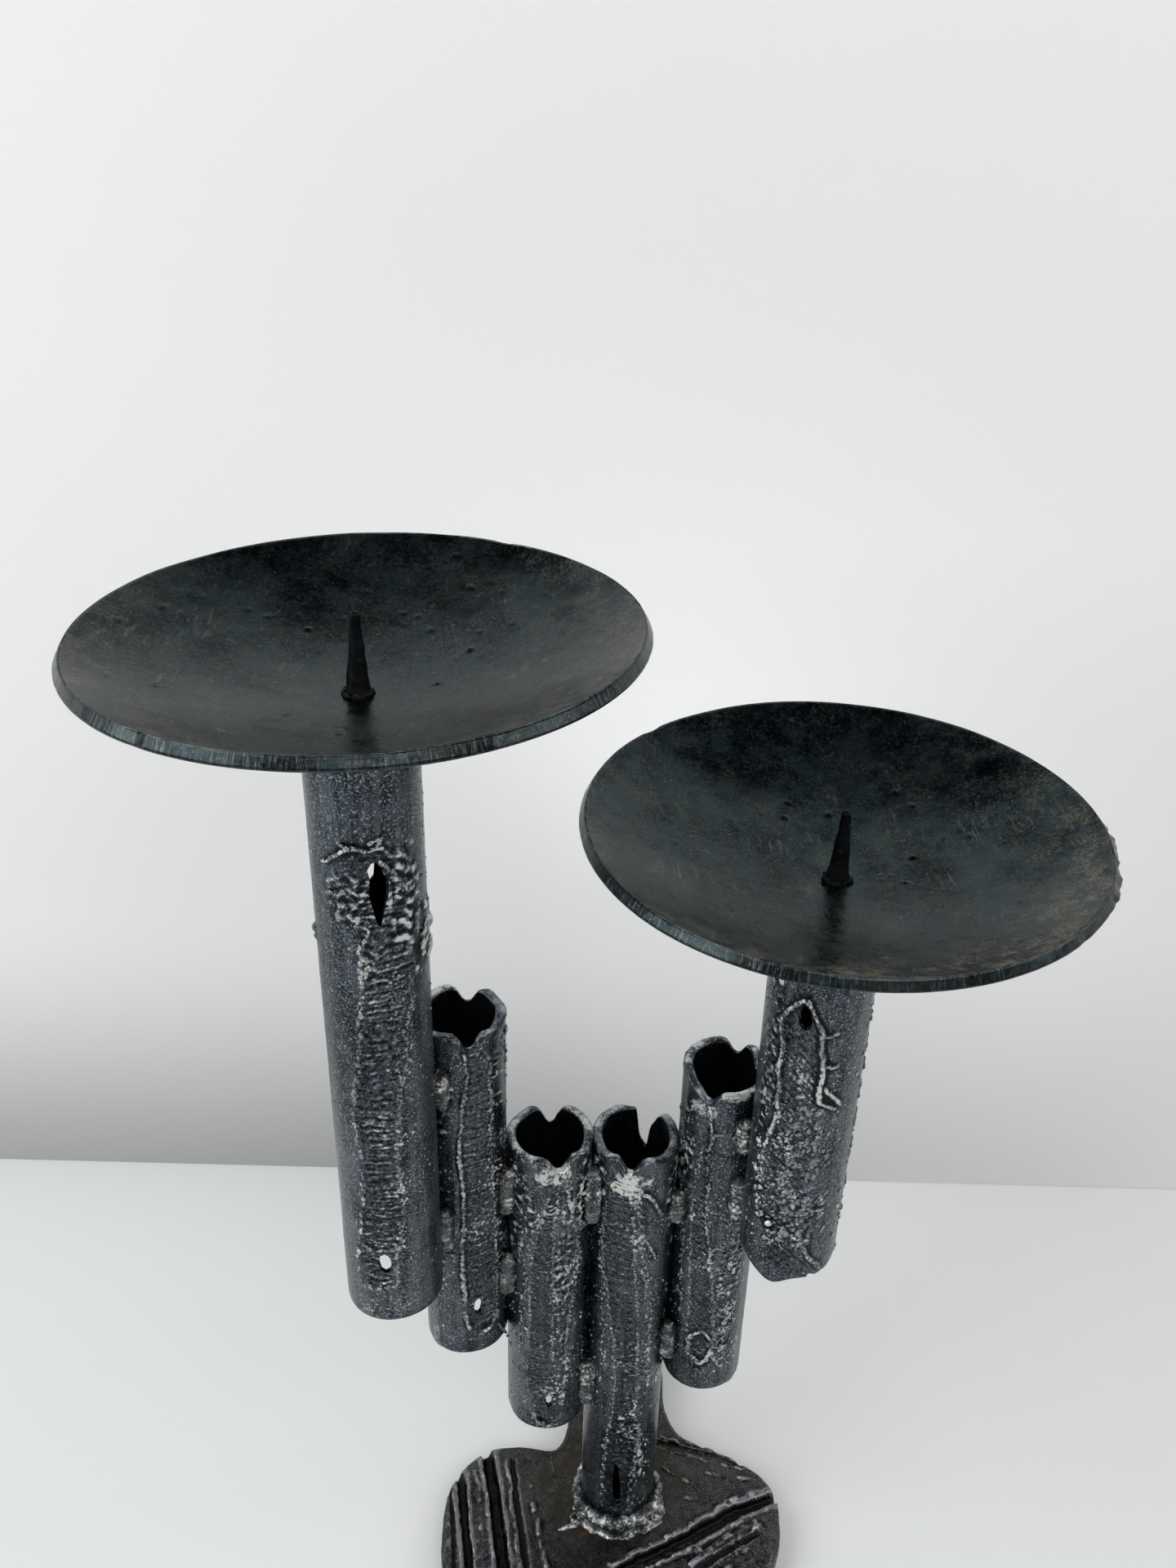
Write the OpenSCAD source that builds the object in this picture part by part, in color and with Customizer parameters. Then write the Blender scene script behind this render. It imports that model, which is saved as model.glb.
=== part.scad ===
// Two-light pricket candlestick, torch-gouged and welded from steel tube, in millimetres.
// Six tubes stand side by side in a V of steps. The outer two carry shallow dishes with spikes.
// +Z is up, +Y is to the back, and the origin is on the table under the axis of the stem tube.
// Angles round a tube are counted from its front, and are positive to the right.

/* [Tubes] */
// Outside diameter of the four inner tubes
inner_tube_d = 25; // [23:0.1:28]
// Outside diameter of the two outer tubes, which carry the dishes
outer_tube_d = 27.3; // [25:0.1:30]
// Wall of every tube
tube_wall = 2.6; // [2.3:0.1:3.2]
// Gap between neighbouring tubes, which the tack welds bridge
tube_gap = 0.3; // [0.2:0.05:0.6]
// How far round its neighbour's front the left outer tube stands, in degrees
left_nest_angle = 42; // [36:1:48]
// How far round its neighbour's front the right outer tube stands, in degrees
right_nest_angle = 48; // [40:1:52]

/* [Tube lengths and steps] */
// Length of the stem tube, which stands on the base plate
stem_len = 163; // [140:1:190]
// Height of the left centre tube's foot above the base plate
centre_left_step = 48; // [35:1:55]
// Length of the left centre tube
centre_left_len = 116; // [100:1:130]
// Height of the left inner tube's foot above the base plate
inner_left_step = 85.5; // [70:0.5:95]
// Length of the left inner tube
inner_left_len = 123; // [105:1:135]
// Height of the left outer tube's foot above the base plate
outer_left_step = 124; // [110:1:130]
// Length of the left outer tube, up to the middle of its dish
outer_left_len = 187.3; // [165:0.1:205]
// Height of the right inner tube's foot above the base plate
inner_right_step = 65; // [55:1:80]
// Length of the right inner tube
inner_right_len = 123; // [110:1:130]
// Height of the right outer tube's foot above the base plate
outer_right_step = 135; // [125:1:140]
// Length of the right outer tube, up to the middle of its dish
outer_right_len = 127.3; // [115:0.1:145]

/* [Dishes and spikes] */
// Diameter of each dish inside, across its rim
dish_d = 123.5; // [110:0.5:140]
// Thickness of the dish plate
dish_plate = 3; // [2:0.25:4]
// Depth of the dish inside, from its rim to its middle
dish_depth = 17; // [12:0.5:20]
// Lean of the left dish to the front, in degrees
left_dish_lean = 1.5; // [0:0.1:3]
// Lean of the right dish to the front, in degrees
right_dish_lean = 2.3; // [0:0.1:3]
// Lean of both dishes to the left, in degrees
dish_side_lean = 0.9; // [0:0.1:2]
// How far right of its tube's axis the middle of the left dish lies
left_dish_right = 2.4; // [0:0.1:4]
// How far in front of its tube's axis the middle of the left dish lies
left_dish_front = 1.3; // [0:0.1:4]
// How far right of its tube's axis the middle of the right dish lies
right_dish_right = 0.4; // [0:0.1:4]
// How far behind its tube's axis the middle of the right dish lies
right_dish_back = 1.8; // [0:0.1:4]
// Height of each spike above the middle of its dish
spike_len = 19.3; // [14:0.1:26]
// Diameter of each spike at its foot
spike_foot_d = 6.8; // [4:0.1:8]
// Diameter of each spike's rounded tip
spike_tip_d = 2.1; // [1:0.1:3]
// How far left of the middle of its dish the left spike stands
left_spike_left = 2; // [0:0.1:4]
// How far in front of the middle of its dish the right spike stands
right_spike_front = 2.3; // [0:0.1:4]

/* [Base] */
// Width of the base plate
base_w = 118; // [105:1:135]
// Reach of the base plate in front of the stem's axis
base_front = 44; // [36:1:55]
// Reach of the base plate's tongue behind the stem's axis
base_back = 62; // [50:1:75]
// Thickness of the base plate
base_plate_t = 10; // [8:0.5:14]
// Width of the weld round the foot of the stem
base_weld_d = 6.5; // [5:0.5:8]

/* [Torch work] */
// Hollow of the torch-gouged channels in the tubes, below a flat across their edges
gouge_hollow = 0.5; // [0.4:0.05:0.8]
// Height of the ripples that the torch left across a channel
gouge_ripple = 0.2; // [0.1:0.05:0.3]
// Spacing of those ripples
ripple_pitch = 6; // [4:0.5:12]
// Largest diameter of the slag that lines a channel
slag_d = 2; // [1.2:0.1:2.4]
// Diameter of the tack weld beads between tubes
tack_d = 4.4; // [3.6:0.1:5]
// Spacing of the ripples along a weld bead
tack_pitch = 2.2; // [1.5:0.1:4]
// Depth of the torch grooves in the base plate
base_groove_depth = 3; // [1:0.25:4]

/* [Hidden] */
$fn = 144;
steel = "#2e3036";
dish_black = "#1d1f20";
weld_grey = "#6c6c66";
// How far a cut runs past the face that it opens
overrun = 1;
// How far stacked lengths of one tube run into each other
lap = 0.1;
inner_r = inner_tube_d / 2;
outer_r = outer_tube_d / 2;
// Plan places of the tube axes
pitch = inner_tube_d + tube_gap;
nest_pitch = inner_r + outer_r + tube_gap;
stem_at = [0, 0];
centre_left_at = [-pitch, 0];
inner_left_at = [-2 * pitch, 0];
inner_right_at = [pitch, 0];
outer_left_at = inner_left_at + nest_pitch * [-cos(left_nest_angle), -sin(left_nest_angle)];
outer_right_at = inner_right_at + nest_pitch * [cos(right_nest_angle), -sin(right_nest_angle)];

// Radius of the sphere that the inside of a dish follows
dish_in_r = dish_d / 2;
dish_sphere_r = (dish_in_r * dish_in_r + dish_depth * dish_depth) / (2 * dish_depth);
dish_out_r = dish_sphere_r + dish_plate;
dish_rim_angle = asin(dish_in_r / dish_sphere_r);
left_dish_base = base_plate_t + outer_left_step + outer_left_len;
right_dish_base = base_plate_t + outer_right_step + outer_right_len;
left_dish_turn = [left_dish_lean, -dish_side_lean, 0];
right_dish_turn = [right_dish_lean, -dish_side_lean, 0];
left_dish_at = outer_left_at + [left_dish_right, -left_dish_front];
right_dish_at = outer_right_at + [right_dish_right, right_dish_back];
left_spike_at = left_dish_at - [left_spike_left, 0];
right_spike_at = right_dish_at - [0, right_spike_front];
dish_weld_d = slag_d * 1.7;

// Where a bead of radius b touches two tubes at p and q, on their front (-1) or back (1)
function crevice(p, p_r, q, q_r, b, side) =
    let (d = norm(q - p), u = (q - p) / d, v = [-u[1], u[0]],
         along = ((p_r + b) * (p_r + b) - (q_r + b) * (q_r + b) + d * d) / (2 * d),
         off = sqrt((p_r + b) * (p_r + b) - along * along))
    p + along * u + side * off * v;

// A solid of revolution whose radius varies at random between two values along its length
module knotted_rod(len, least_r, most_r, step, seed) {
    n = max(2, round(len / step));
    r = rands(least_r, most_r, n, seed);
    rotate_extrude()
        polygon(concat(
            [[0, 0]],
            [for (i = [0 : n - 1]) [r[i], len * (i + 0.5) / n]],
            [[0, len]]));
}

// Cross-section of a tube with a channel down its front and its back, and slag along their edges
module gouged_section(d, chord_share, hollow, slag_r) {
    half_chord = d * chord_share / 2;
    edge_y = sqrt(d * d / 4 - half_chord * half_chord);
    cut_r = (half_chord * half_chord + hollow * hollow) / (2 * hollow);
    difference() {
        circle(d = d);
        circle(d = d - 2 * tube_wall);
        for (side = [-1, 1])
            translate([0, side * (edge_y - hollow + cut_r)]) circle(cut_r, $fn = 1440);
    }
    for (x = [-half_chord, half_chord], y = [-edge_y, edge_y])
        translate([x, y]) circle(slag_r, $fn = 48);
}

// A plain length of tube
module plain_length(d, len) {
    linear_extrude(len)
        difference() {
            circle(d = d);
            circle(d = d - 2 * tube_wall);
        }
}

// A tube with a channel down its front and its back from start to end. The torch left the
// channels rippled, and their slag thick and thin by turns.
module gouged_tube(d, len, turn, chord_share, start, end, seed) {
    n = max(2, round((end - start) / ripple_pitch));
    step = (end - start) / n;
    slag_r = rands(slag_d * 0.3, slag_d / 2, n, seed);
    rotate([0, 0, turn]) {
        plain_length(d, start + lap);
        for (i = [0 : n - 1])
            translate([0, 0, start + i * step])
                linear_extrude(step + (i < n - 1 ? lap : 0))
                    gouged_section(d, chord_share, gouge_hollow - (i % 2) * gouge_ripple, slag_r[i]);
        if (end < len)
            translate([0, 0, end - lap])
                plain_length(d, len - end + lap);
    }
}

// A burn hole through one wall, pointed above and below, w wide and h high
module burn_hole(d, angle, z, w, h) {
    side_r = (w * w + h * h) / (4 * w);
    rotate([0, 0, angle])
        translate([0, tube_wall + overrun - d / 2, z])
            rotate([90, 0, 0])
                linear_extrude(tube_wall + 3 * overrun)
                    intersection() {
                        translate([side_r - w / 2, 0]) circle(side_r);
                        translate([w / 2 - side_r, 0]) circle(side_r);
                    }
}

// A notch burnt down into a tube's rim, w wide and deep below it, with a round foot
module rim_notch(d, len, angle, w, deep) {
    rotate([0, 0, angle])
        translate([0, tube_wall + overrun - d / 2, len - deep + w / 2])
            rotate([90, 0, 0])
                linear_extrude(tube_wall + 3 * overrun) {
                    circle(d = w);
                    translate([-w / 2, 0]) square([w, deep]);
                }
}

// A shallow dip melted into a tube's rim
module rim_dip(d, len, angle, w, deep) {
    dip_r = (w * w / 4 + deep * deep) / (2 * deep);
    rotate([0, 0, angle])
        translate([0, tube_wall + overrun - d / 2, len - deep + dip_r])
            rotate([90, 0, 0])
                cylinder(r = dip_r, h = tube_wall + 3 * overrun);
}

// Beads of spatter on a tube between two angles and two heights, each sunk a little into it
module spatter(d, from_angle, to_angle, start, end, count, seed) {
    at = rands(0, 1, 2 * count, seed);
    for (i = [0 : count - 1])
        rotate([0, 0, from_angle + (to_angle - from_angle) * at[2 * i]])
            let (r = slag_d * (0.25 + 0.15 * at[2 * i + 1]))
                translate([0, r * 0.35 - d / 2, start + (end - start) * (i + 0.5) / count])
                    sphere(r = r, $fn = 24);
}

// A tube's outside, as a plain rod that others are cut to
module tube_envelope(at, d) {
    translate([at[0], at[1], 0])
        cylinder(d = d, h = left_dish_base + dish_depth);
}

// One tack weld: a rippled bead in the crevice between two tubes, from one height to another
module tack(p, p_d, q, q_d, side, bottom, top, seed) {
    at = crevice(p, p_d / 2, q, q_d / 2, tack_d * 0.3, side);
    difference() {
        translate([at[0], at[1], base_plate_t + bottom])
            knotted_rod(top - bottom, tack_d * 0.38, tack_d / 2, tack_pitch, seed);
        tube_envelope(p, p_d);
        tube_envelope(q, q_d);
    }
}

// Two tack welds in one crevice, each as long as its share of the height that both tubes cover
module tack_pair(p, p_d, q, q_d, side, bottom, top, low_shares, high_shares, seed) {
    span = top - bottom;
    tack(p, p_d, q, q_d, side, bottom + span * low_shares[0], bottom + span * low_shares[1], seed);
    tack(p, p_d, q, q_d, side, bottom + span * high_shares[0], bottom + span * high_shares[1], seed + 1);
}

// Heights at which each pair of neighbours begins and stops running side by side
outer_left_top = outer_left_step + outer_left_len;
inner_left_top = inner_left_step + inner_left_len;
centre_left_top = centre_left_step + centre_left_len;
inner_right_top = inner_right_step + inner_right_len;
outer_right_top = outer_right_step + outer_right_len;

// Puts a tube or a thing on it at its place in plan and its height above the base plate
module stand(at, step) {
    translate([at[0], at[1], base_plate_t + step]) children();
}

// Left outer tube: a long burn hole high on its front and back, and a small one low down
outer_left_turn = 8;
outer_left_chord_share = 0.42;
outer_left_gouge_shares = [0.07, 0.82];
module outer_tube_left() {
    d = outer_tube_d;
    len = outer_left_len;
    color(steel)
        difference() {
            stand(outer_left_at, outer_left_step) {
                difference() {
                    union() {
                        gouged_tube(d, len, outer_left_turn, outer_left_chord_share,
                            len * outer_left_gouge_shares[0], len * outer_left_gouge_shares[1], 11);
                        spatter(d, -60, -25, len * 0.15, len * 0.9, 9, 5);
                        spatter(d, 90, 40, len * 0.6, len * 0.86, 9, 6);
                    }
                    burn_hole(d, outer_left_turn + 7, len * 0.75, tube_wall * 2, tube_wall * 7);
                    burn_hole(d, 182 + outer_left_turn, len * 0.737, tube_wall * 2, tube_wall * 6);
                    burn_hole(d, -5, len * 0.112, tube_wall * 1.7, tube_wall * 2.6);
                }
            }
            dish_underside_cut(left_dish_at, left_dish_base, left_dish_turn);
        }
}

// Right outer tube: a burn hole at the top of its channel, and a foot cut away at a slant
outer_right_turn = -27;
outer_right_chord_share = 0.42;
outer_right_gouge_shares = [0.05, 0.79];
module outer_tube_right() {
    d = outer_tube_d;
    len = outer_right_len;
    color(steel)
        difference() {
            stand(outer_right_at, outer_right_step) {
                difference() {
                    union() {
                        gouged_tube(d, len, outer_right_turn, outer_right_chord_share,
                            len * outer_right_gouge_shares[0], len * outer_right_gouge_shares[1], 23);
                        spatter(d, 5, 95, len * 0.12, len * 0.8, 16, 7);
                    }
                    burn_hole(d, outer_right_turn, len * 0.745, tube_wall * 1.7, tube_wall * 3.2);
                    // The scoop that the torch took out of the foot, from its left down to its right
                    rotate([0, 0, 12])
                        translate([0, -d / 2 - tube_wall / 2, tube_wall * 1.5])
                            rotate([0, 55, 0])
                                cylinder(d = tube_wall * 3, h = d, center = true);
                    // The bevel on the left of the foot
                    rotate([0, 0, -70])
                        translate([0, -d / 2, 0])
                            rotate([-38, 0, 0])
                                translate([0, 0, -d / 2])
                                    cube([2 * d, tube_wall * 5, d], center = true);
                }
            }
            dish_underside_cut(right_dish_at, right_dish_base, right_dish_turn);
        }
}

// Left inner tube: open above, with a notch burnt into its rim at the front and the back
inner_left_turn = 15;
inner_chord_share = 0.48;
inner_left_gouge_shares = [0.1, 1];
module inner_tube_left() {
    d = inner_tube_d;
    len = inner_left_len;
    color(steel)
        stand(inner_left_at, inner_left_step)
            difference() {
                union() {
                    gouged_tube(d, len, inner_left_turn, inner_chord_share,
                        len * inner_left_gouge_shares[0], len * inner_left_gouge_shares[1], 31);
                    spatter(d, 50, 72, len * 0.72, len * 0.97, 6, 8);
                }
                rim_notch(d, len, inner_left_turn, tube_wall * 1.9, tube_wall * 1.3);
                rim_notch(d, len, inner_left_turn + 154, tube_wall * 1.8, tube_wall * 1.6);
                rim_dip(d, len, 62, d / 3, tube_wall * 0.6);
                rim_dip(d, len, -115, d / 3, tube_wall * 0.5);
                burn_hole(d, inner_left_turn + 5, len * 0.15, tube_wall * 1.2, tube_wall * 2.4);
            }
}

// Left centre tube
centre_left_turn = 2;
centre_left_gouge_shares = [0.07, 1];
module centre_tube_left() {
    d = inner_tube_d;
    len = centre_left_len;
    color(steel)
        stand(centre_left_at, centre_left_step)
            difference() {
                union() {
                    gouged_tube(d, len, centre_left_turn, inner_chord_share,
                        len * centre_left_gouge_shares[0], len * centre_left_gouge_shares[1], 41);
                    spatter(d, 36, 50, len * 0.15, len * 0.95, 6, 9);
                }
                rim_notch(d, len, centre_left_turn + 6, tube_wall * 2, tube_wall * 1.5);
                rim_notch(d, len, 178, tube_wall * 2, tube_wall * 1.9);
                rim_dip(d, len, 75, d / 3, tube_wall * 0.5);
                rim_dip(d, len, -62, d / 4, tube_wall * 0.7);
                rim_dip(d, len, -140, d / 3, tube_wall * 0.4);
                burn_hole(d, centre_left_turn, len * 0.106, tube_wall, tube_wall * 2.1);
            }
}

// Stem tube: stands on the base plate, with a long narrow burn hole just above its foot
stem_turn = -10;
stem_chord_share = 0.42;
stem_gouge_shares = [0.04, 1];
module stem_tube() {
    d = inner_tube_d;
    len = stem_len;
    color(steel)
        stand(stem_at, 0)
            difference() {
                gouged_tube(d, len, stem_turn, stem_chord_share,
                    len * stem_gouge_shares[0], len * stem_gouge_shares[1], 53);
                rim_notch(d, len, stem_turn - 3, tube_wall * 2, tube_wall * 1.3);
                // The hooked slot at the back of the rim
                rim_notch(d, len, 163, tube_wall * 1.4, tube_wall * 2.6);
                rim_notch(d, len, 158, tube_wall * 1.6, tube_wall * 3.5);
                rim_dip(d, len, 65, d / 3, tube_wall * 0.6);
                rim_dip(d, len, -75, d / 3, tube_wall * 0.5);
                burn_hole(d, stem_turn + 2, len * 0.096, tube_wall, tube_wall * 7);
            }
}

// Right inner tube: its channel ends in a blind pit, and its rim is melted open on the right
inner_right_turn = -21;
inner_right_chord_share = 0.42;
inner_right_gouge_shares = [0.14, 1];
module inner_tube_right() {
    d = inner_tube_d;
    len = inner_right_len;
    color(steel)
        stand(inner_right_at, inner_right_step)
            difference() {
                union() {
                    gouged_tube(d, len, inner_right_turn, inner_right_chord_share,
                        len * inner_right_gouge_shares[0], len * inner_right_gouge_shares[1], 61);
                    spatter(d, 12, 26, len * 0.1, len * 0.6, 8, 10);
                }
                rim_notch(d, len, inner_right_turn - 12, tube_wall * 2, tube_wall * 1.4);
                rim_notch(d, len, inner_right_turn + 176, tube_wall * 1.8, tube_wall * 1.4);
                rim_dip(d, len, 100, d / 2.5, tube_wall * 2);
                rim_dip(d, len, -58, d / 3, tube_wall * 0.9);
                // The pit at the foot of the channel stops short of the bore
                rotate([0, 0, -16])
                    translate([0, -d / 2, len * 0.157])
                        sphere(r = tube_wall * 0.7);
            }
}

// Puts a dish or a thing in it at the dish's middle, leant as the dish leans
module at_dish(at, base_z, turn) {
    translate([at[0], at[1], base_z])
        rotate(turn)
            children();
}

// What the underside of a dish takes off the end of its tube
module dish_underside_cut(at, base_z, turn) {
    at_dish(at, base_z, turn)
        translate([0, 0, dish_out_r - dish_plate])
            sphere(r = dish_out_r, $fn = 360);
}

// A dish: a shell between two spheres, with its rim cut square to the plate
module dish() {
    reach = dish_out_r * 2;
    intersection() {
        translate([0, 0, dish_sphere_r])
            difference() {
                sphere(r = dish_out_r, $fn = 360);
                sphere(r = dish_sphere_r, $fn = 360);
            }
        translate([0, 0, dish_sphere_r - reach])
            cylinder(r1 = reach * tan(dish_rim_angle), r2 = 0, h = reach, $fn = 360);
    }
}

// A nick in the rim of a dish
module rim_nick(angle, w, deep) {
    rotate([0, 0, angle])
        translate([0, -dish_in_r, dish_depth])
            rotate([-dish_rim_angle, 0, 0])
                translate([0, deep - w / 2, 0])
                    cylinder(d = w, h = 4 * dish_plate, center = true);
}

module pan_left() {
    color(dish_black)
        at_dish(left_dish_at, left_dish_base, left_dish_turn)
            difference() {
                dish();
                rim_nick(-35, dish_plate * 1.6, dish_plate * 0.25);
                rim_nick(205, dish_plate * 1.3, dish_plate * 0.25);
            }
}

module pan_right() {
    color(dish_black)
        at_dish(right_dish_at, right_dish_base, right_dish_turn)
            difference() {
                dish();
                rim_nick(62, dish_plate * 3, dish_plate * 0.3);
                rim_nick(74, dish_plate * 2, dish_plate * 0.35);
                rim_nick(84, dish_plate * 1.4, dish_plate * 0.3);
                rim_nick(240, dish_plate * 1.5, dish_plate * 0.25);
            }
}

// What the inside of a dish takes off the foot of whatever stands in it
module dish_inside_cut(at, base_z, turn) {
    difference() {
        at_dish(at, base_z, turn)
            cylinder(d = dish_d, h = 2 * dish_plate, center = true);
        at_dish(at, base_z, turn)
            translate([0, 0, dish_sphere_r])
                sphere(r = dish_sphere_r, $fn = 360);
    }
}

// A spike: a long taper with a rounded tip. Its foot starts inside the plate, for the dish to cut.
module spike_body(at, base_z) {
    root = dish_plate / 2;
    translate([at[0], at[1], base_z]) {
        translate([0, 0, -root])
            cylinder(d1 = spike_foot_d, d2 = spike_tip_d, h = spike_len - spike_tip_d / 2 + root);
        translate([0, 0, spike_len - spike_tip_d / 2])
            sphere(d = spike_tip_d);
    }
}

// The collar of slag round the foot of a spike, with a few lumps on it
module spike_weld(at, dish_at, base_z, turn) {
    collar_d = spike_foot_d * 1.6;
    difference() {
        translate([at[0], at[1], base_z]) {
            translate([0, 0, -dish_plate / 3])
                cylinder(d1 = collar_d, d2 = spike_foot_d, h = spike_foot_d * 0.33 + dish_plate / 3);
            for (angle = [20, 130, 255])
                rotate([0, 0, angle])
                    translate([spike_foot_d * 0.62, 0, spike_foot_d * 0.1])
                        sphere(d = spike_foot_d * 0.42);
        }
        spike_body(at, base_z);
        dish_inside_cut(dish_at, base_z, turn);
    }
}

module spike_left() {
    color(dish_black)
        difference() {
            spike_body(left_spike_at, left_dish_base);
            dish_inside_cut(left_dish_at, left_dish_base, left_dish_turn);
        }
}

module spike_right() {
    color(dish_black)
        difference() {
            spike_body(right_spike_at, right_dish_base);
            dish_inside_cut(right_dish_at, right_dish_base, right_dish_turn);
        }
}

module spike_weld_left() {
    color(dish_black)
        spike_weld(left_spike_at, left_dish_at, left_dish_base, left_dish_turn);
}

module spike_weld_right() {
    color(dish_black)
        spike_weld(right_spike_at, right_dish_at, right_dish_base, right_dish_turn);
}

// The middle of the sphere that a dish follows
function sphere_middle(dish_at, base_z, turn) =
    [dish_at[0] + dish_sphere_r * cos(turn[0]) * sin(turn[1]),
     dish_at[1] - dish_sphere_r * sin(turn[0]),
     base_z + dish_sphere_r * cos(turn[0]) * cos(turn[1])];

// The weld under a dish: a ring round the end of its tube, which leans as the dish does there
module dish_weld(at, dish_at, base_z, turn) {
    c = sphere_middle(dish_at, base_z, turn);
    aside = [c[0] - at[0], c[1] - at[1]];
    drop = sqrt(dish_out_r * dish_out_r - outer_r * outer_r - aside * aside);
    difference() {
        translate([at[0], at[1], c[2] - drop])
            rotate([0, atan2(norm(aside), drop), atan2(aside[1], aside[0])])
                rotate_extrude()
                    translate([outer_r + dish_weld_d * 0.1, 0])
                        circle(d = dish_weld_d);
        tube_envelope(at, outer_tube_d);
        dish_underside_cut(dish_at, base_z, turn);
    }
}

module pan_weld_left() {
    color(weld_grey) dish_weld(outer_left_at, left_dish_at, left_dish_base, left_dish_turn);
}

module pan_weld_right() {
    color(weld_grey) dish_weld(outer_right_at, right_dish_at, right_dish_base, right_dish_turn);
}

// The outline of the base plate: two lobes and a tongue that runs to the back.
// Each point is a share of half the width, and of the reach to the front (-) or the back (+).
base_outline_shares = [
    [0.3, 1], [-0.2, 1], [-0.27, 0.72], [-0.27, 0.42], [-0.36, 0.23], [-0.6, 0.25],
    [-0.8, 0.22], [-0.98, 0.04], [-1.03, -0.35], [-0.98, -0.72], [-0.72, -0.93], [-0.3, -1],
    [0.25, -1], [0.66, -0.9], [0.86, -0.66], [0.94, -0.3], [0.9, -0.02], [0.72, 0.13],
    [0.45, 0.26], [0.34, 0.46], [0.35, 0.75]];
outline_steps = 5;
function outline_point(share) = [share[0] * base_w / 2, share[1] * (share[1] > 0 ? base_back : base_front)];
// A smooth closed curve through the points, by the rule of Catmull and Rom
function between(a, b, c, d, t) =
    0.5 * (2 * b + (c - a) * t + (2 * a - 5 * b + 4 * c - d) * t * t + (3 * b - a - 3 * c + d) * t * t * t);
function smooth_outline(shares) =
    let (n = len(shares), p = [for (s = shares) outline_point(s)])
    [for (i = [0 : n - 1], j = [0 : outline_steps - 1])
        between(p[(i + n - 1) % n], p[i], p[(i + 1) % n], p[(i + 2) % n], j / outline_steps)];

// A straight torch groove across the top of the base plate, between two places given as shares
module base_groove(from_share, to_share, w) {
    a = outline_point(from_share);
    b = outline_point(to_share);
    cut_r = (w * w / 4 + base_groove_depth * base_groove_depth) / (2 * base_groove_depth);
    translate([a[0], a[1], base_plate_t - base_groove_depth + cut_r])
        rotate([0, 0, atan2(b[1] - a[1], b[0] - a[0])])
            rotate([0, 90, 0])
                cylinder(r = cut_r, h = norm(b - a));
}

// A ridge of slag that stands on the base plate beside a groove
module base_ridge(from_share, to_share, seed) {
    a = outline_point(from_share);
    b = outline_point(to_share);
    translate([a[0], a[1], base_plate_t])
        rotate([0, 0, atan2(b[1] - a[1], b[0] - a[0])])
            rotate([0, 90, 0])
                knotted_rod(norm(b - a), slag_d * 0.4, slag_d * 0.6, ripple_pitch, seed);
}

module base_plate() {
    color(steel) {
        difference() {
            linear_extrude(base_plate_t)
                polygon(smooth_outline(base_outline_shares));
            base_groove([-0.98, 0.4], [-0.84, -1.2], base_groove_depth * 1.5);
            base_groove([-0.79, 0.4], [-0.66, -1.2], base_groove_depth * 1.3);
            base_groove([-0.35, -0.82], [1.2, -0.08], base_groove_depth * 1.6);
            base_groove([0.25, 0.4], [0.95, 0.02], base_groove_depth * 1.2);
        }
        base_ridge([-0.7, 0.19], [-0.6, -0.85], 71);
        base_ridge([-0.53, 0.19], [-0.4, -0.8], 72);
        base_ridge([0.1, -0.76], [0.85, -0.33], 73);
        base_ridge([0.24, 0.1], [0.55, -0.12], 74);
    }
}

// The weld round the foot of the stem, thickest at the front
module base_weld() {
    lumps = 9;
    lump_r = rands(0.42, 0.55, lumps, 81);
    color(weld_grey)
        difference() {
            stand(stem_at, 0) {
                rotate_extrude()
                    translate([inner_r, 0]) circle(d = base_weld_d * 0.7);
                for (i = [0 : lumps - 1])
                    rotate([0, 0, -80 + 160 * i / (lumps - 1)])
                        translate([0, -inner_r - base_weld_d * 0.2, 0])
                            sphere(r = base_weld_d * lump_r[i]);
            }
            tube_envelope(stem_at, inner_tube_d);
            translate([-base_w, -base_w, base_plate_t - 2 * base_weld_d])
                cube([2 * base_w, 2 * base_w, 2 * base_weld_d]);
        }
}

module tacks_outer_left_front() {
    color(weld_grey)
        tack_pair(outer_left_at, outer_tube_d, inner_left_at, inner_tube_d, -1,
            outer_left_step, inner_left_top, [0.08, 0.3], [0.75, 0.87], 101);
}

module tacks_outer_left_back() {
    color(weld_grey)
        tack_pair(outer_left_at, outer_tube_d, inner_left_at, inner_tube_d, 1,
            outer_left_step, inner_left_top, [0.12, 0.3], [0.7, 0.86], 103);
}

module tacks_inner_left_front() {
    color(weld_grey)
        tack_pair(inner_left_at, inner_tube_d, centre_left_at, inner_tube_d, -1,
            inner_left_step, centre_left_top, [0.3, 0.55], [0.76, 0.9], 105);
}

module tacks_inner_left_back() {
    color(weld_grey)
        tack_pair(inner_left_at, inner_tube_d, centre_left_at, inner_tube_d, 1,
            inner_left_step, centre_left_top, [0.15, 0.32], [0.7, 0.88], 107);
}

module tacks_centre_front() {
    color(weld_grey)
        tack_pair(centre_left_at, inner_tube_d, stem_at, inner_tube_d, -1,
            centre_left_step, stem_len, [0.06, 0.2], [0.8, 0.95], 109);
}

module tacks_centre_back() {
    color(weld_grey)
        tack_pair(centre_left_at, inner_tube_d, stem_at, inner_tube_d, 1,
            centre_left_step, stem_len, [0.1, 0.25], [0.75, 0.92], 111);
}

module tacks_inner_right_front() {
    color(weld_grey)
        tack_pair(stem_at, inner_tube_d, inner_right_at, inner_tube_d, -1,
            inner_right_step, stem_len, [0.1, 0.27], [0.76, 0.84], 113);
}

module tacks_inner_right_back() {
    color(weld_grey)
        tack_pair(stem_at, inner_tube_d, inner_right_at, inner_tube_d, 1,
            inner_right_step, stem_len, [0.12, 0.3], [0.7, 0.88], 115);
}

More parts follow.
